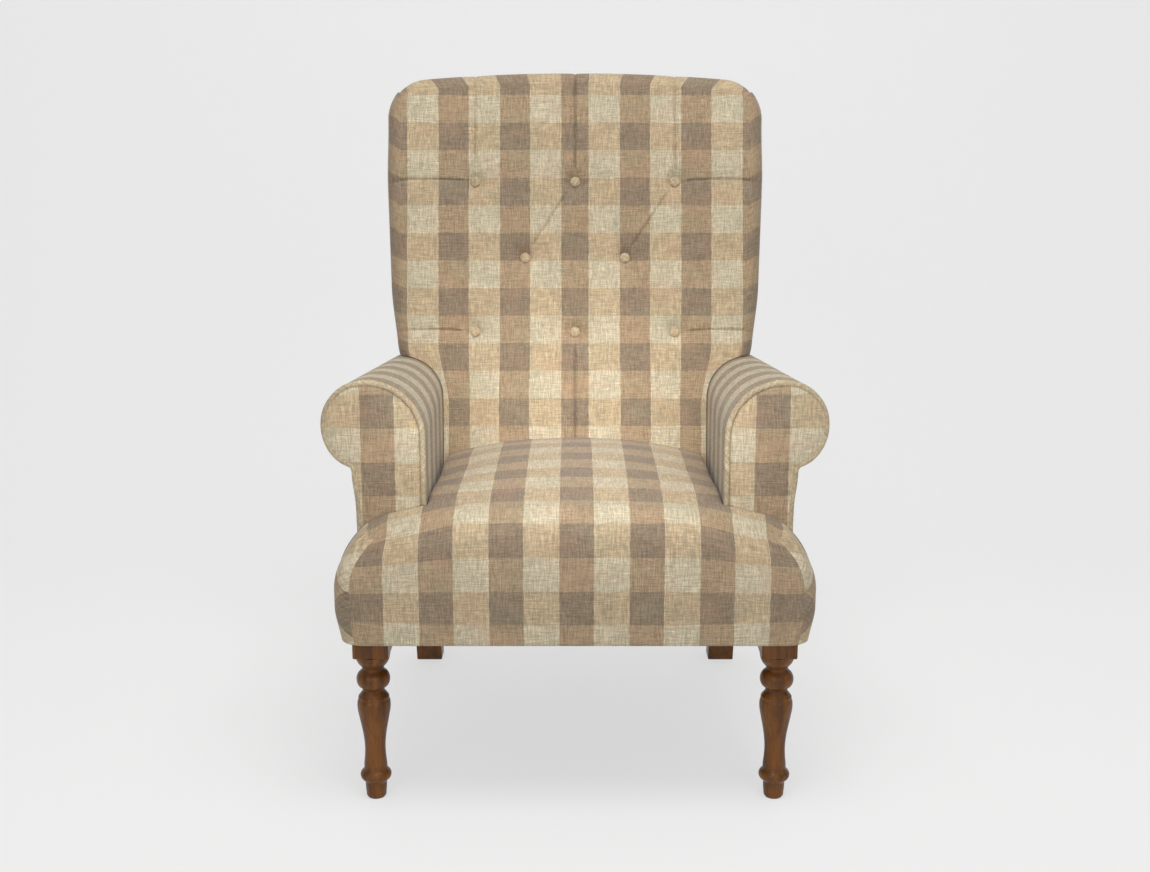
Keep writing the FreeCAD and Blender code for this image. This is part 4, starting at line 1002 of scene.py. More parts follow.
# %% [markdown]
# ## Arms
# The inside cover of an arm starts under the seat, climbs the inside, goes over the top and
# round the scroll, and ends in the notch beneath it. Its outline is two rounds of different
# size and a small hollow, and all of them shrink evenly towards the back. Rows of
# the grid follow the outline and columns run from front to back, as the cloth does.

# %% Arm outline
NOTCH_FLARE = 5.5
FLARE_REACH = 34.0
OUTLINE_COUNTS = (16, 24, 36, 8)


def notch_flare(z, hollow):
    """Under the scroll the side of the arm swings out a little towards the notch."""
    return NOTCH_FLARE * np.exp(-((z - hollow) / FLARE_REACH) ** 2)


def arm_outline(y, inset=0.0, foot=LAYERS_TOP + 0.5):
    """Points of the right arm's outline at y from the foot of its inside to the notch."""
    on_inside, on_roll, on_scroll, on_notch = OUTLINE_COUNTS
    y = np.asarray(y, float)
    inside = at(ARM_INNER, y) + inset
    outside = at(ARM_OUTER, y) - inset
    top = at(ARM_TOP, y) - inset
    roll = at(ARM_ROLL, y) - inset
    scroll = at(ARM_SCROLL, y) - inset
    notch = NOTCH + inset
    axis = inside + roll
    centre = top - scroll
    aside = outside + notch - axis
    hollow = centre - np.sqrt((scroll + notch) ** 2 - aside ** 2)
    low_angle = np.arctan2(hollow - centre, aside)
    xs, zs = [], []
    for t in np.linspace(0, 1, on_inside, endpoint=False):
        xs.append(inside + 0 * y)
        zs.append(foot + (top - roll - foot) * t)
    for t in np.linspace(0, 1, on_roll, endpoint=False):
        turn = math.pi - t * math.pi / 2
        xs.append(axis + roll * math.cos(turn))
        zs.append(top - roll + roll * math.sin(turn))
    for t in np.linspace(0, 1, on_scroll, endpoint=False):
        turn = math.pi / 2 + (low_angle - math.pi / 2) * t
        xs.append(axis + scroll * np.cos(turn))
        zs.append(centre + scroll * np.sin(turn))
    for t in np.linspace(0, 1, on_notch):
        turn = low_angle + math.pi - low_angle * t
        xs.append(outside + notch + notch * np.cos(turn))
        zs.append(hollow + notch * np.sin(turn))
    xs, zs = np.stack(xs), np.stack(zs)
    return xs + notch_flare(zs, hollow) * (xs > axis), zs, outside, hollow


print("the outline has", sum(OUTLINE_COUNTS), "points")


# %% Arm grid
def arm_grid(steps=70):
    """The outline at steps from the front to the rear face, which slopes back with height."""
    share = np.linspace(0, 1, steps)
    x_here, z_here, _, _ = arm_outline(np.full(steps, COVER_FRONT))
    for _ in range(3):
        y_here = COVER_FRONT + (rear_face(z_here) - REAR_GAP - COVER_FRONT) * share[None, :]
        lines_x, lines_z = [], []
        for number, line_y in enumerate(y_here):
            x_all, z_all, _, _ = arm_outline(line_y)
            lines_x.append(x_all[number])
            lines_z.append(z_all[number])
        x_here, z_here = np.stack(lines_x), np.stack(lines_z)
    return np.stack([x_here, y_here, z_here], -1)


arm = arm_grid()
print("arm grid", arm.shape[0], "by", arm.shape[1], "points")

# %% Arm covers
ARM_CHECK = (25.0, 5.0)
FRONT_PULL = 1.3
PULL_REACH = 6.0
SIDES_BELOW = 60
TOP_ABOVE = 40
CAP_SHARES = (0.04, 0.12, 0.5, 0.96)
CAP_SWELL = 1.4
start = run_length(arm, 0)
crown_row = sum(OUTLINE_COUNTS[:2])
cloth_up = start[:, [0]] - start[crown_row, 0]
arm_cloth = lay_cloth(cloth_up + 0 * start + ARM_CHECK[0], arm[..., 1] - COVER_FRONT + ARM_CHECK[1])
pull = FRONT_PULL * np.exp(-(arm[..., 1] - COVER_FRONT) / PULL_REACH)
centre_x = (at(ARM_INNER, arm[..., 1]) + at(ARM_OUTER, arm[..., 1])) / 2
on_sides = arm[..., 2] < at(ARM_TOP, arm[..., 1]) - SIDES_BELOW
arm[..., 0] += np.sign(centre_x - arm[..., 0]) * pull * on_sides
arm[..., 2] -= pull * (arm[..., 2] > at(ARM_TOP, arm[..., 1]) - TOP_ABOVE)
tail = arm[:, -1:, :]
tail_centre = np.stack([at(ARM_INNER, tail[..., 1]) + at(ARM_ROLL, tail[..., 1]), tail[..., 1] + 0.3,
                        at(ARM_TOP, tail[..., 1]) - at(ARM_SCROLL, tail[..., 1])], -1)
caps = [tail]
for share in CAP_SHARES:
    ring_here = tail + (tail_centre - tail) * share
    ring_here[..., 1] = tail[..., 1] + CAP_SWELL * min(1.0, share * 10)
    caps.append(ring_here)
cap = np.concatenate(caps, 1)
SIDE_CHECK_Z = 285.0
cap_cloth = lay_cloth(cap[..., 0], cap[..., 2] - SIDE_CHECK_Z)
arm_patches = [(arm, arm_cloth, True), (cap, cap_cloth, True)]
for side, patches in (("right", arm_patches), ("left", mirror(arm_patches))):
    cover = upholster("arm_cover_cloth_" + side, patches, banded_cloth,
                      ["arm_cover_" + side], shell=1.6)

# %% [markdown]
# ## Facings and piping
# The end of each arm is closed by a facing: a board padded and covered with the check, edged
# by a piping cord that is wrapped in a bias strip. The facing is a grid that fills the arm's
# outline level by level. It swells quickly from its edge and then lies nearly flat, so its
# swelling is worked out from each point's distance to the nearest point of the edge.

# %% Edge of the facing
def facing_ring(inset):
    """The arm's outline at its front end, and on down the outside to the facing's foot."""
    x_here, z_here, outside, hollow = arm_outline(np.array([ARM_FRONT]), inset, FACING_FOOT)
    x_here, z_here = x_here[:, 0], z_here[:, 0]
    down_z = np.linspace(float(hollow[0]), FACING_FOOT, 14)[1:]
    x_here = np.concatenate([x_here, float(outside[0]) + notch_flare(down_z, float(hollow[0]))])
    return x_here, np.concatenate([z_here, down_z])


def leaning_ring(inner_inset, outer_inset):
    """The facing's edge: further in along the inside and the top than round the scroll."""
    inner_x, inner_z = facing_ring(inner_inset)
    outer_x, outer_z = facing_ring(outer_inset)
    along = np.linspace(0, 1, len(inner_x))
    share = smooth_step(0.28, 0.62, along)
    return inner_x + (outer_x - inner_x) * share, inner_z + (outer_z - inner_z) * share


print("the facing's edge has", len(facing_ring(0.0)[0]), "points")

# %% Facings
FACING_EDGE_Y = 34.6
FACING_RISE = 8.2
FACING_SOFTNESS = 2.6
FACING_INSETS = (7.8, 2.6)
FACING_CHECK = (285.0, 455.5)
edge_x_line, edge_z_line = leaning_ring(*FACING_INSETS)
summit = int(np.argmax(edge_z_line))
level = np.sin(np.linspace(0, math.pi / 2, 100))
facing_z = FACING_FOOT + (edge_z_line[summit] - 0.02 - FACING_FOOT) * level
inner_edge = np.interp(facing_z, edge_z_line[:summit + 1], edge_x_line[:summit + 1])
outer_edge = np.interp(facing_z, edge_z_line[summit:][::-1], edge_x_line[summit:][::-1])
spread = (1 - np.cos(np.linspace(0, math.pi, 49))) / 2
facing_x = inner_edge[:, None] + (outer_edge - inner_edge)[:, None] * spread[None, :]
facing_z = facing_z[:, None] + 0 * facing_x
fine = np.linspace(0, len(edge_x_line) - 1, 900)
edge_x_fine = np.interp(fine, np.arange(len(edge_x_line)), edge_x_line)
edge_z_fine = np.interp(fine, np.arange(len(edge_z_line)), edge_z_line)
to_edge = np.hypot(facing_x[..., None] - edge_x_fine, facing_z[..., None] - edge_z_fine).min(axis=-1)
swollen = FACING_RISE * (1 - np.exp(-(to_edge / FACING_SOFTNESS) ** 0.75))
facing = np.stack([facing_x, FACING_EDGE_Y - swollen, facing_z], -1)
facing_uv = lay_cloth(facing[..., 0] - FACING_CHECK[0], facing[..., 2] - FACING_CHECK[1])
facing_patches = [(facing, facing_uv, False)]
for side, patches in (("right", facing_patches), ("left", mirror(facing_patches))):
    panel = upholster("arm_facing_cloth_" + side, patches, cover_cloth,
                      ["arm_facing_" + side], shell=1.0)

# %% Piping
CORD = 4.2
CORD_Y = ARM_FRONT + 2 * PIPING - CORD + 0.6
CORD_SIDES = 20
CORD_UNEVEN = 0.02
CORD_LUMPS = 7.0
BIAS = 0.7
x_line, z_line = facing_ring(CORD)
middle = np.stack([x_line, np.full_like(x_line, CORD_Y), z_line], -1)
along_line = run_length(middle, 0)
ahead = np.gradient(middle, axis=0)
ahead /= np.linalg.norm(ahead, axis=1)[:, None]
sideways = np.stack([ahead[:, 2], np.zeros(len(ahead)), -ahead[:, 0]], -1)
turn = np.linspace(0, 2 * math.pi, CORD_SIDES + 1)
bulge = CORD * (1 + CORD_UNEVEN * np.sin(along_line / CORD_LUMPS))[:, None, None]
piping = (middle[:, None, :] + bulge * (sideways[:, None, :] * np.cos(turn)[None, :, None]
                                        + np.array([0, 1.0, 0]) * np.sin(turn)[None, :, None]))
around = turn[None, :] * CORD
piping_uv = lay_cloth((along_line[:, None] + around) * BIAS, (along_line[:, None] - around) * BIAS)
piping_patches = [(piping, piping_uv, False)]
for side, patches in (("right", piping_patches), ("left", mirror(piping_patches))):
    upholster("arm_piping_cord_" + side, patches, piping_cloth, ["arm_piping_" + side])

# %% [markdown]
# ## Outside panels
# The outsides of the arms and of the back are single pieces of cloth, stretched over the open
# frame and slip stitched along their edges. They are nearly flat, with a slight hollow between
# the timbers, and each is cut to the outline that it has to fill.

# %% Outside arms
ARM_HOLLOW = 2.2
HOLLOW_FROM = 0.36
share = np.linspace(0, 1, 90)[None, :]
levels = np.linspace(0, 1, 50)[:, None]
grid_y = COVER_FRONT + share * (rear_face(HEM) - COVER_FRONT) + 0 * levels
for _ in range(3):
    _, _, outside, hollow = arm_outline(grid_y.ravel())
    outside, hollow = outside.reshape(grid_y.shape), hollow.reshape(grid_y.shape)
    grid_z = HEM + (hollow - CLEARANCE - HEM) * levels
    grid_y = COVER_FRONT + share * (rear_face(grid_z) - REAR_GAP - COVER_FRONT)
above_rail = np.clip((levels - HOLLOW_FROM) / (1 - HOLLOW_FROM), 0, 1)
sunk = ARM_HOLLOW * np.sin(share * math.pi) * np.sin(above_rail * math.pi)
outside_arm = np.stack([outside + notch_flare(grid_z, hollow) - sunk, grid_y, grid_z], -1)
outside_cloth = lay_cloth(grid_y - 4.0, grid_z - SIDE_CHECK_Z)
outside_patches = [(outside_arm, outside_cloth, False)]
for side, patches in (("right", outside_patches), ("left", mirror(outside_patches))):
    panel = upholster("outside_arm_cloth_" + side, patches, cover_cloth,
                      ["outside_arm_" + side], shell=2.2)

# %% [markdown]
# Between the arms the outside back has straight sides. Above them it follows the pad's own
# outline, so the pad's rounded corners are reused and the two meet along the whole edge.

# %% Outside back
BACK_SHEET = BACK_PAD + POST_DEPTH * math.cos(LEAN) + PANEL
ABOVE_ARMS = 602.0
LOWER_TOP = ABOVE_ARMS - 12.0
LOWER_HALF = (297.3, 299.0)
SHEET_INSET = 2.0
SHEET_DEPTH = 98.0
BEND_SOFTNESS = 34.0
PANEL_HOLLOW = 2.0
HOLLOW_HALF = 250


def sheet_y(z):
    """The panel's outer face: upright below the bend of the posts and leaning above it."""
    bend = POST_Y + POST_DEPTH + PANEL + CLEARANCE
    lift = z - BACK_Z
    return bend + math.tan(LEAN) * 0.5 * (lift + np.sqrt(lift ** 2 + BEND_SOFTNESS ** 2))


share = np.linspace(-1, 1, 110)
tries = np.linspace(-1, 1, 400)
try_x, try_rise = back_point(0.0, tries, SHEET_INSET, SHEET_DEPTH)
from_here = np.interp(ABOVE_ARMS, lean_back(try_x, BACK_SHEET, try_rise)[..., 2], tries)
up_share = np.linspace(from_here, 1, 90)[:, None]
upper_x, upper_rise = back_point(share[None, :], up_share, SHEET_INSET, SHEET_DEPTH)
upper_z = lean_back(upper_x, BACK_SHEET, upper_rise)[..., 2]
lower_z = np.linspace(HEM, LOWER_TOP, 70)[:, None] + 0 * share[None, :]
lower_x = np.interp(lower_z, [HEM, LOWER_TOP], LOWER_HALF) * share[None, :]
grid_x, grid_z = np.concatenate([lower_x, upper_x]), np.concatenate([lower_z, upper_z])
up = (grid_z - HEM) / (grid_z[-1] - HEM)
across_hollow = np.cos(np.clip(np.abs(grid_x) / HOLLOW_HALF, 0, 1) * math.pi / 2)
hollow = PANEL_HOLLOW * across_hollow * np.sin(up * math.pi)
outside_back = np.stack([grid_x, sheet_y(grid_z) - hollow, grid_z], -1)
back_panel = upholster("outside_back_cloth",
                       [(outside_back, lay_cloth(-grid_x, grid_z - SIDE_CHECK_Z), True)],
                       cover_cloth, ["outside_back"], shell=2.2)

# %% [markdown]
# ## Turned front legs
# The front legs are beech, turned on a lathe below the square that holds the rails: foot,
# collar, waist, vase, shoulder, bead and neck. In Blender that is a profile turned round an
# axis. The profile is a smooth curve through heights and radii that were measured, so the
# beads stay round when seen close. A number at each point tells how deep in a groove it lies,
# and shade is painted into the wood there, darker the deeper the groove.

# %% Turned profile
SQUARE_HALF = 26.0
SQUARE_SOFT = 1.6
SQUARE_FOOT = 224.0
TURNING = ((0.0, 12.5), (3.0, 14.4), (7.3, 14.9), (14.0, 15.6), (20.2, 15.9), (24.5, 16.3), (26.4, 17.2),
           (29.5, 20.6), (35.3, 22.9), (40.5, 21.4), (43.4, 18.6), (44.6, 18.0), (53.4, 17.0), (66.1, 15.7),
           (80.8, 15.3), (99.0, 16.9), (113.6, 19.4), (128.1, 22.2), (140.0, 24.2), (147.0, 24.5),
           (153.0, 23.7), (155.4, 22.8), (156.6, 22.7), (159.0, 22.6), (163.2, 19.6), (167.6, 16.6),
           (169.6, 16.0), (171.4, 16.6), (176.6, 21.9), (181.5, 24.1), (186.0, 24.7), (190.8, 24.0),
           (195.3, 21.9), (200.6, 16.9), (203.1, 16.0), (206.0, 17.2), (210.0, 20.6), (216.0, 24.0),
           (SQUARE_FOOT, 25.7))
BLOCK_RINGS = ((SQUARE_FOOT, 0.02), (SQUARE_FOOT, 0.93), (224.4, 0.965), (226.0, 1.0), (331.0, 1.0),
               (332.8, 0.97), (RAIL_TOP, 0.9), (RAIL_TOP, 0.02))
GROOVE_REACH = 9.0
GROOVE_DEEP = 3.5


def turning_profile():
    """Heights, radii and how deep in a groove the wood lies at each height, from 0 to 1."""
    heights = np.array([p[0] for p in TURNING])
    radii = np.array([p[1] for p in TURNING])
    fine = np.unique(np.concatenate([np.linspace(0, SQUARE_FOOT, 225), heights]))
    radius = through(heights, radii, fine)
    spread = np.array([np.exp(-((fine - h) / GROOVE_REACH) ** 2) for h in fine])
    around = (spread * radius[None, :]).sum(1) / spread.sum(1)
    return fine, radius, np.clip((around - radius) / GROOVE_DEEP, 0, 1)


print(len(TURNING), "measured points,", len(turning_profile()[0]), "rings")


# %% Square of the leg
def squared_block():
    """The square above the turning, with softened edges, as rings of a rounded square."""
    flat = SQUARE_HALF - SQUARE_SOFT
    corners = []
    for quarter in range(4):
        middle = quarter * math.pi / 2 + math.pi / 4
        cx = flat * math.copysign(1, math.cos(middle))
        cy = flat * math.copysign(1, math.sin(middle))
        for t in np.linspace(0, math.pi / 2, 5):
            turn = quarter * math.pi / 2 + t
            corners.append((cx + SQUARE_SOFT * math.cos(turn), cy + SQUARE_SOFT * math.sin(turn)))
    corners = np.array(corners + corners[:1])
    rings = []
    for z, scale in BLOCK_RINGS:
        ring_x = LEG_X + corners[:, 0] * scale
        rings.append(np.stack([ring_x, corners[:, 1] * scale, np.full(len(corners), z)], -1))
    return np.stack(rings)


print("the square is", 2 * SQUARE_HALF, "mm wide")


# %% Front legs
def leg_patches():
    """The right leg: the turning, closed under its foot, and the square on top of it."""
    height, radius, _ = turning_profile()
    angle = np.linspace(0, 2 * math.pi, 65)
    x = LEG_X + radius[:, None] * np.cos(angle)[None, :]
    y = radius[:, None] * np.sin(angle)[None, :]
    turning = np.stack([x, y, height[:, None] + 0 * x], -1)
    foot = turning[:1].copy()
    foot[..., 0] = LEG_X
    foot[..., 1] = 0.0
    turning = np.concatenate([foot, turning])
    block = squared_block()
    return [(turning, turning[..., [0, 2]], False), (block, block[..., [0, 2]], False)]


# Painted shade: the depth in a groove written here darkens the turned wood there.
def paint_groove_shade(piece):
    """Write how deep in a groove each point lies, from the profile at its height."""
    height, _, groove = turning_profile()
    points = np.empty(len(piece.data.vertices) * 3)
    piece.data.vertices.foreach_get("co", points)
    z = points[2::3] / MM
    values = np.interp(z, height, groove) * (z < SQUARE_FOOT - 0.1)
    layer = piece.data.attributes.new("hollow", "FLOAT", "POINT")
    layer.data.foreach_set("value", values.astype(np.float32))


for side, patches in (("right", leg_patches()), ("left", mirror(leg_patches()))):
    leg = upholster("turned_leg_" + side, patches, polished_beech, ["front_leg_" + side])
    paint_groove_shade(leg)

# %% [markdown]
# ## Frame timbers
# The rear legs, rails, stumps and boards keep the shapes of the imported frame. A small bevel
# modifier breaks their edges, as a joiner's plane does, and the grain runs along each timber:
# the wood group reads a place whose Z is turned to the timber's own length.

# %% Timbers
ALONG = {"front_seat_rail": "x", "rear_seat_rail": "x", "back_top_rail": "x", "back_lower_rail": "x",
         "corner_blocks": "x", "side_seat_rail_right": "y", "side_seat_rail_left": "y",
         "arm_board_right": "y", "arm_board_left": "y", "arm_stuffing_rail_right": "y",
         "arm_stuffing_rail_left": "y", "arm_stump_right": "z", "arm_stump_left": "z"}


def finish_timber(name, wood, soft):
    """Give a timber of the frame its wood, and break its edges by a width in mm."""
    timber = nodes[name]
    timber.data.materials.clear()
    timber.data.materials.append(wood)
    edge = timber.modifiers.new("soft edges", "BEVEL")
    edge.width = soft * MM
    edge.segments = 2
    edge.limit_method = "ANGLE"
    edge.angle_limit = math.radians(30)
    edge.harden_normals = False


for name, direction in ALONG.items():
    finish_timber(name, bare_beech[direction], 1.0)
for name in ("rear_leg_right", "rear_leg_left"):
    finish_timber(name, polished_beech, 1.6)
print(len(ALONG) + 2, "timbers finished")

# %% [markdown]
# ## Webbing, hessian and stuffing
# Under the seat and inside the back, jute straps are tacked across the frame, each passing
# over and under the ones it crosses. A strap is a thin section with eased edges, carried along
# a line that rises over every other strap and falls again in smooth steps. Hessian lies over
# the webbing, and the firm stuffing on the hessian is sewn into a scrim with rounded edges.
# None of this shows from outside, but it is what holds the chair up.

# %% Straps
WEB_WIDTH = 50.0
WEB_THICK = 1.6
WEB_LIFT = 1.9
WEB_PITCH = 84.0
WEB_COUNT = 5
WEB_ARRIS = (0.4, 0.25)
WEB_SLOPE = (1.0, 15.0)
RAIL_WIDE = 26.0
WEB_END = 4.0
spread_out = (np.arange(WEB_COUNT) - (WEB_COUNT - 1) / 2) * WEB_PITCH


def strap_lift(start, end, crossings, high_first):
    """Height along a strap: fully up over a crossing that it passes over, and else on the rail."""
    distance = np.linspace(start, end, int((end - start) / 3))
    height = np.zeros_like(distance)
    for number, crossing in enumerate(crossings):
        if (number + high_first) % 2:
            away = np.abs(distance - crossing) - WEB_WIDTH / 2
            height = np.maximum(height, WEB_LIFT * (1 - smooth_step(*WEB_SLOPE, away)))
    return distance, height


def strap_patches(start, end, crossings, high_first, place):
    """The top, underside and edges of one strap. place turns distance, side and height to a point."""
    distance, height = strap_lift(start, end, crossings, high_first)
    half, thin = WEB_WIDTH / 2, WEB_ARRIS[1]
    flat, thick = half - WEB_ARRIS[0], WEB_THICK - WEB_ARRIS[1]
    section = [(-half, thin), (-flat, 0.0), (flat, 0.0), (half, thin), (half, thick), (flat, WEB_THICK),
               (-flat, WEB_THICK), (-half, thick), (-half, thin)]
    side = np.array([p[0] for p in section])
    rise = np.array([p[1] for p in section])
    grid = place(distance[:, None] + 0 * side, side[None, :] + 0 * distance[:, None],
                 height[:, None] + rise[None, :])
    cloth = lay_cloth(side[None, :] + 0 * distance[:, None], distance[:, None] + 0 * side)
    return [(grid, cloth, False)]


print(WEB_COUNT, "straps each way, every", WEB_PITCH, "mm")

# %% Seat webbing
seat_cross = spread_out + (COVER_FRONT + STUMP_DEPTH + POST_Y) / 2
patches = []
for number, x_middle in enumerate(spread_out):
    patches += strap_patches(-RAIL_WIDE + WEB_END, POST_Y + RAIL_WIDE - WEB_END, seat_cross, number % 2,
                             lambda d, s, h, m=x_middle: np.stack([m + s, d, RAIL_TOP + h], -1))
for number, y_middle in enumerate(seat_cross):
    reach = at(ARM_OUTER, y_middle + WEB_WIDTH / 2) - PANEL - CLEARANCE - WEB_END
    patches += strap_patches(-reach, reach, spread_out, 1 - number % 2,
                             lambda d, s, h, m=y_middle: np.stack([d, m - s, RAIL_TOP + h], -1))
upholster("seat_web_straps", patches, jute, ["seat_webbing"])

# %% Back webbing
BACK_FRAME_TOP = 626.0
TOP_RAIL_FOOT = BACK_FRAME_TOP - 62.0
LOWER_RAIL_FOOT = 12.0
POST_OUTER = 295.0
POST_INSET = 6.0
back_arm = (at(ARM_TOP, POST_Y) - BACK_Z) / math.cos(LEAN)
back_cross = spread_out + (back_arm + TOP_RAIL_FOOT) / 2
patches = []
for number, x_middle in enumerate(spread_out):
    patches += strap_patches(LOWER_RAIL_FOOT + WEB_END, BACK_FRAME_TOP - WEB_END, back_cross, number % 2,
                             lambda d, s, h, m=x_middle: lean_back(m + s, BACK_PAD - h, d))
for number, rise_middle in enumerate(back_cross):
    patches += strap_patches(-POST_OUTER + POST_INSET, POST_OUTER - POST_INSET, spread_out, 1 - number % 2,
                             lambda d, s, h, m=rise_middle: lean_back(d, BACK_PAD - h, m - s))
upholster("back_web_straps", patches, jute, ["back_webbing"])

# %% [markdown]
# Hessian lies on the webbing and carries the stuffing. The seat's is a plain rectangle. The
# back's is cut to pass inside the arms where it stands between them.

# %% Hessian
WEB_STACK = WEB_THICK + WEB_LIFT
HESSIAN = 0.8
half = float(at(ARM_INNER, COVER_FRONT + STUMP_DEPTH)) + 14.0
x_grid, y_grid = np.meshgrid(np.linspace(-half, half, 60), np.linspace(-20.0, POST_Y - 2.0, 60))
seat_base = RAIL_TOP + WEB_STACK + CLEARANCE + HESSIAN
grid = np.stack([x_grid, y_grid, seat_base + 0 * x_grid], -1)
sheet = upholster("seat_hessian_sheet", [(grid, lay_cloth(x_grid, y_grid), False)], hessian_cloth,
                  ["seat_hessian"], shell=HESSIAN)

half = POST_OUTER - 8.0
rises = np.linspace(LOWER_RAIL_FOOT + 2.0, BACK_FRAME_TOP - 2.0, 120)
x_grid, rise_grid = np.meshgrid(np.linspace(-half, half, 80), rises)
face = BACK_PAD - WEB_STACK - CLEARANCE - HESSIAN
uncut = lean_back(x_grid, face, rise_grid)
limit = arm_limit(uncut[..., 1] + 2.0, uncut[..., 2], CLEARANCE)
grid = lean_back(np.clip(x_grid, -limit, limit), face, rise_grid)
sheet = upholster("back_hessian_sheet", [(grid, lay_cloth(grid[..., 0], rise_grid), False)], hessian_cloth,
                  ["back_hessian"], shell=HESSIAN)

# %% Stuffing
STUFF_HALF = 200.0
STUFF_FRONT = 0.6
STUFF_REAR = BACK_Y - 16.0
STUFF_TOP = 438.0
STUFF_FOOT = LAYERS_TOP - 0.4
STUFF_CORNER = 0.16
STUFF_PROFILE = ((0.0, 0.0), (0.4, 0.0), (0.9, 0.0), (0.985, 0.02), (1.0, 0.10), (0.993, 0.3), (0.99, 0.5),
                 (0.993, 0.72), (1.0, 0.88), (0.985, 0.955), (0.95, 0.985), (0.88, 0.997), (0.6, 1.0),
                 (0.3, 1.0), (0.0, 1.0))


def rounded_rectangle(half_x, half_y, count=161):
    """A plan with round corners, from a circle whose sines are raised to a small power."""
    angle = np.linspace(0, 2 * math.pi, count)
    cos, sin = np.cos(angle), np.sin(angle)
    plan_x = half_x * np.sign(cos) * np.abs(cos) ** STUFF_CORNER
    plan_y = half_y * np.sign(sin) * np.abs(sin) ** STUFF_CORNER
    return plan_x, plan_y


def stuffing_patches():
    """A firm pad with rounded edges and slightly hollow sides between them, as ticking pulls it."""
    middle_y = (STUFF_FRONT + STUFF_REAR) / 2
    plan_x, plan_y = rounded_rectangle(STUFF_HALF, (STUFF_REAR - STUFF_FRONT) / 2)
    rings = []
    for scale, height in STUFF_PROFILE:
        z = STUFF_FOOT + (STUFF_TOP - STUFF_FOOT) * height
        rings.append(np.stack([plan_x * scale, middle_y + plan_y * scale, np.full_like(plan_x, z)], -1))
    grid = np.stack(rings)
    return [(grid, lay_cloth(grid[..., 0] + grid[..., 2], grid[..., 1] + grid[..., 2]), False)]


stuffing = upholster("firm_seat_stuffing", stuffing_patches(), stuffing_cloth,
                     ["seat_stuffing"], level=1)

# %% [markdown]
# The dust cover is black cambric, tacked under the rails all round and cut to clear the legs.
# It is held taut, so it is a grid whose middle sags by less than a millimetre.

# %% Dust cover
DUST_INSET = 3.0
DUST_LIFT = 0.9
DUST_SAG = 0.875
REAR_LEG_INNER = 249.0
nose_y = -RAIL_WIDE + DUST_INSET
side_front = RAIL_WIDE + DUST_INSET
side_rear = POST_Y - DUST_INSET
tail_y = POST_Y + RAIL_WIDE - DUST_INSET


def dust_reach(y):
    """Half the cover's width at y: inside the front legs, out to the panels, inside the rear legs."""
    if y <= side_front:
        return LEG_X - SQUARE_HALF - DUST_INSET
    if y < side_rear:
        return float(at(ARM_OUTER, y)) - PANEL - CLEARANCE - DUST_INSET
    return REAR_LEG_INNER - DUST_INSET


lines_y = np.unique(np.concatenate([np.linspace(nose_y, side_front, 8), [side_front + 0.4],
                                    np.linspace(side_front + 0.4, side_rear - 0.4, 60), [side_rear],
                                    np.linspace(side_rear, tail_y, 6)]))
share = np.linspace(-1, 1, 71)
lines = []
for y in lines_y:
    middle = math.sin(min(max((y - nose_y) / (tail_y - nose_y), 0), 1) * math.pi)
    sag = DUST_SAG * middle * np.cos(share * math.pi / 2)
    lines.append(np.stack([share * dust_reach(y), np.full_like(share, y), HEM + DUST_LIFT - sag], -1))
grid = np.stack(lines)
dust = upholster("black_dust_cover", [(grid, lay_cloth(grid[..., 0], grid[..., 1]), False)], cambric,
                 ["dust_cover"], shell=0.9)

# %% [markdown]
# ## Floor, backdrop and light
# A pale sheet curves up behind the chair, so that no horizon shows. It must look almost white
# and still take the chair's shadow. Its shader mixes a plain pale surface, which shows the
# shadow, with a little of its own colour that only the camera and reflections see.

# %% Floor and backdrop
PAPER_NEAR = -4.5
PAPER_FAR = 2.2
PAPER_HALF = 6.0
PAPER_TOP = 4.5
PAPER_BEND = 1.2


def make_backdrop():
    """A sheet in metres that lies on the floor, bends up behind the chair and stands upright."""
    bend_y = PAPER_FAR - PAPER_BEND
    profile = [(PAPER_NEAR, 0.0), (bend_y, 0.0)]
    for t in np.linspace(0, math.pi / 2, 17)[1:]:
        profile.append((bend_y + PAPER_BEND * math.sin(t), PAPER_BEND - PAPER_BEND * math.cos(t)))
    profile.append((PAPER_FAR, PAPER_TOP))
    points, faces = [], []
    for y, z in profile:
        points += [(-PAPER_HALF, y, z), (PAPER_HALF, y, z)]
    for i in range(len(profile) - 1):
        faces.append((2 * i, 2 * i + 1, 2 * i + 3, 2 * i + 2))
    mesh = bpy.data.meshes.new("backdrop")
    mesh.from_pydata(points, [], faces)
    for face in mesh.polygons:
        face.use_smooth = True
    backdrop = bpy.data.objects.new("backdrop", mesh)
    bpy.context.scene.collection.objects.link(backdrop)
    return backdrop


backdrop = make_backdrop()
print("backdrop of", len(backdrop.data.polygons), "faces")

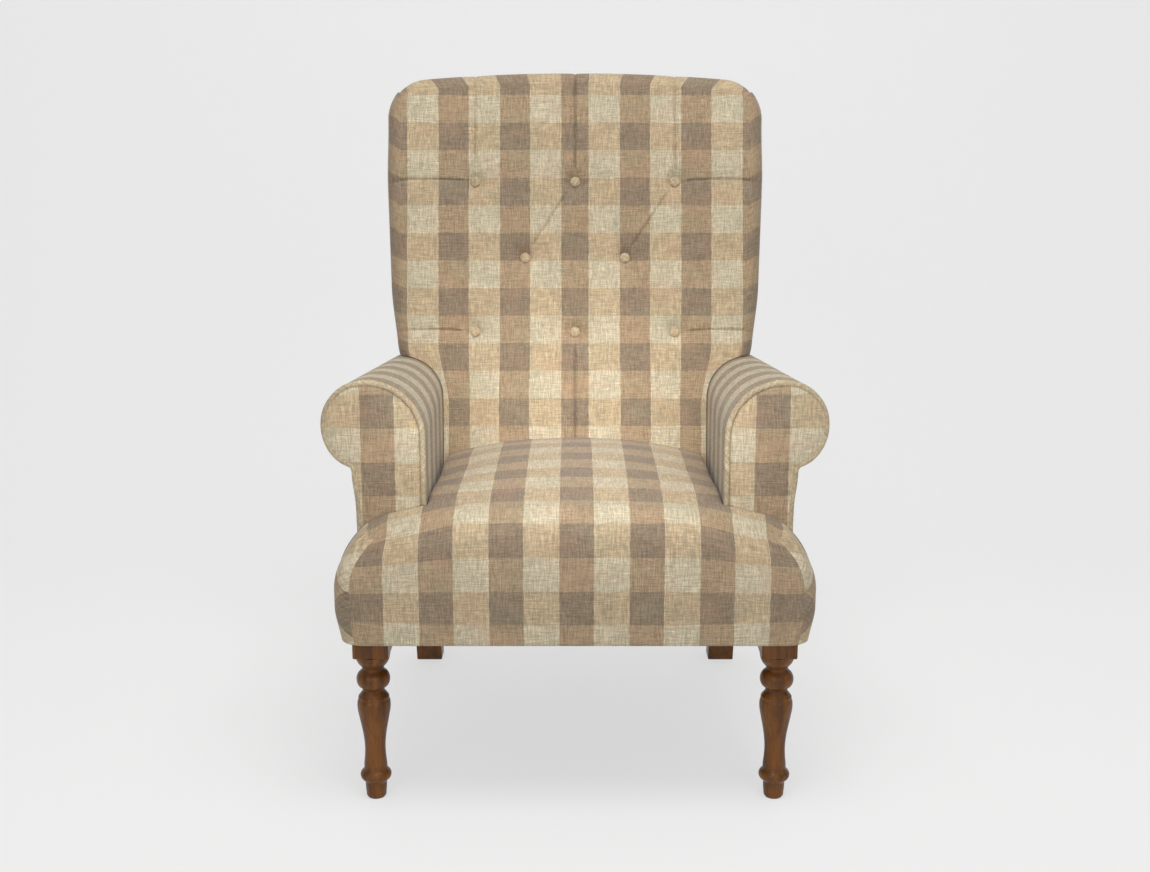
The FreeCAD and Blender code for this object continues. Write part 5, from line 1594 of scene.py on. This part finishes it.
# %% Pale paper
PAPER = "#f1f1f1"
PAPER_GLOW = 0.68
paper, tree, shader = new_material("pale paper", PAPER)
shader.inputs["Base Color"].default_value = srgb(PAPER)
shader.inputs["Roughness"].default_value = 0.95
shader.inputs["Specular IOR Level"].default_value = 0.0
seen = add_node(tree, "ShaderNodeLightPath").outputs
by_eye = arithmetic(tree, "MAXIMUM", seen["Is Camera Ray"], seen["Is Glossy Ray"])
glow = add_node(tree, "ShaderNodeEmission", {"Color": srgb(PAPER), "Strength": 1.0}).outputs[0]
share = arithmetic(tree, "MULTIPLY", by_eye, PAPER_GLOW)
mix = add_node(tree, "ShaderNodeMixShader", {0: share, 1: shader.outputs[0], 2: glow}).outputs[0]
tree.links.new(mix, tree.nodes["Material Output"].inputs["Surface"])
backdrop.data.materials.append(paper)
print("to the camera, the backdrop shows", PAPER_GLOW, "of its own colour")

# %% [markdown]
# Soft even light comes from large lamps: one overhead and one on each side in front. The foot
# of the back lies deep between the arms and stays too dark under these. A lamp near it would
# leave a bright spot on the seat, so a small lamp stands well in front of the chair, with a
# narrow beam that reaches in between the arms, and the camera doesn't see it. The last lamp is
# for the backdrop alone, and a pale world fills the shadows.

# %% Light
def soft_light(name, place, target, size, power):
    """A rectangular lamp in metres and watts, turned to face a target."""
    data = bpy.data.lights.new(name, "AREA")
    data.shape = "RECTANGLE"
    data.size, data.size_y = size
    data.energy = power
    lamp = bpy.data.objects.new(name, data)
    lamp.location = place
    direction = Vector(target) - Vector(place)
    lamp.rotation_euler = direction.to_track_quat("-Z", "Y").to_euler()
    bpy.context.scene.collection.objects.link(lamp)
    return lamp


BEAM = math.radians(28)
WORLD_STRENGTH = 0.38
soft_light("overhead", (0.1, -0.8, 2.7), (0.0, 0.0, 0.4), (1.6, 1.2), 35.0)
soft_light("front left", (-1.4, -3.6, 1.6), (0.0, 0.0, 0.55), (2.0, 1.6), 25.0)
soft_light("front right", (1.6, -3.5, 1.4), (0.0, 0.0, 0.5), (2.0, 1.6), 19.0)
between_arms = soft_light("between the arms", (0.0, -1.3, 0.85), (0.0, 0.08, 0.50), (0.4, 0.12), 0.45)
between_arms.data.spread = BEAM
between_arms.visible_camera = False
soft_light("backdrop", (0.0, 0.8, 3.0), (0.0, 2.2, 1.6), (3.0, 0.6), 5.0)
world = bpy.data.worlds.new("studio")
bpy.context.scene.world = world
world.use_nodes = True
background = world.node_tree.nodes["Background"]
background.inputs["Color"].default_value = (1.0, 1.0, 1.0, 1.0)
background.inputs["Strength"].default_value = WORLD_STRENGTH
bpy.context.scene.view_settings.view_transform = "Standard"
print(len(bpy.data.lights), "lamps set")
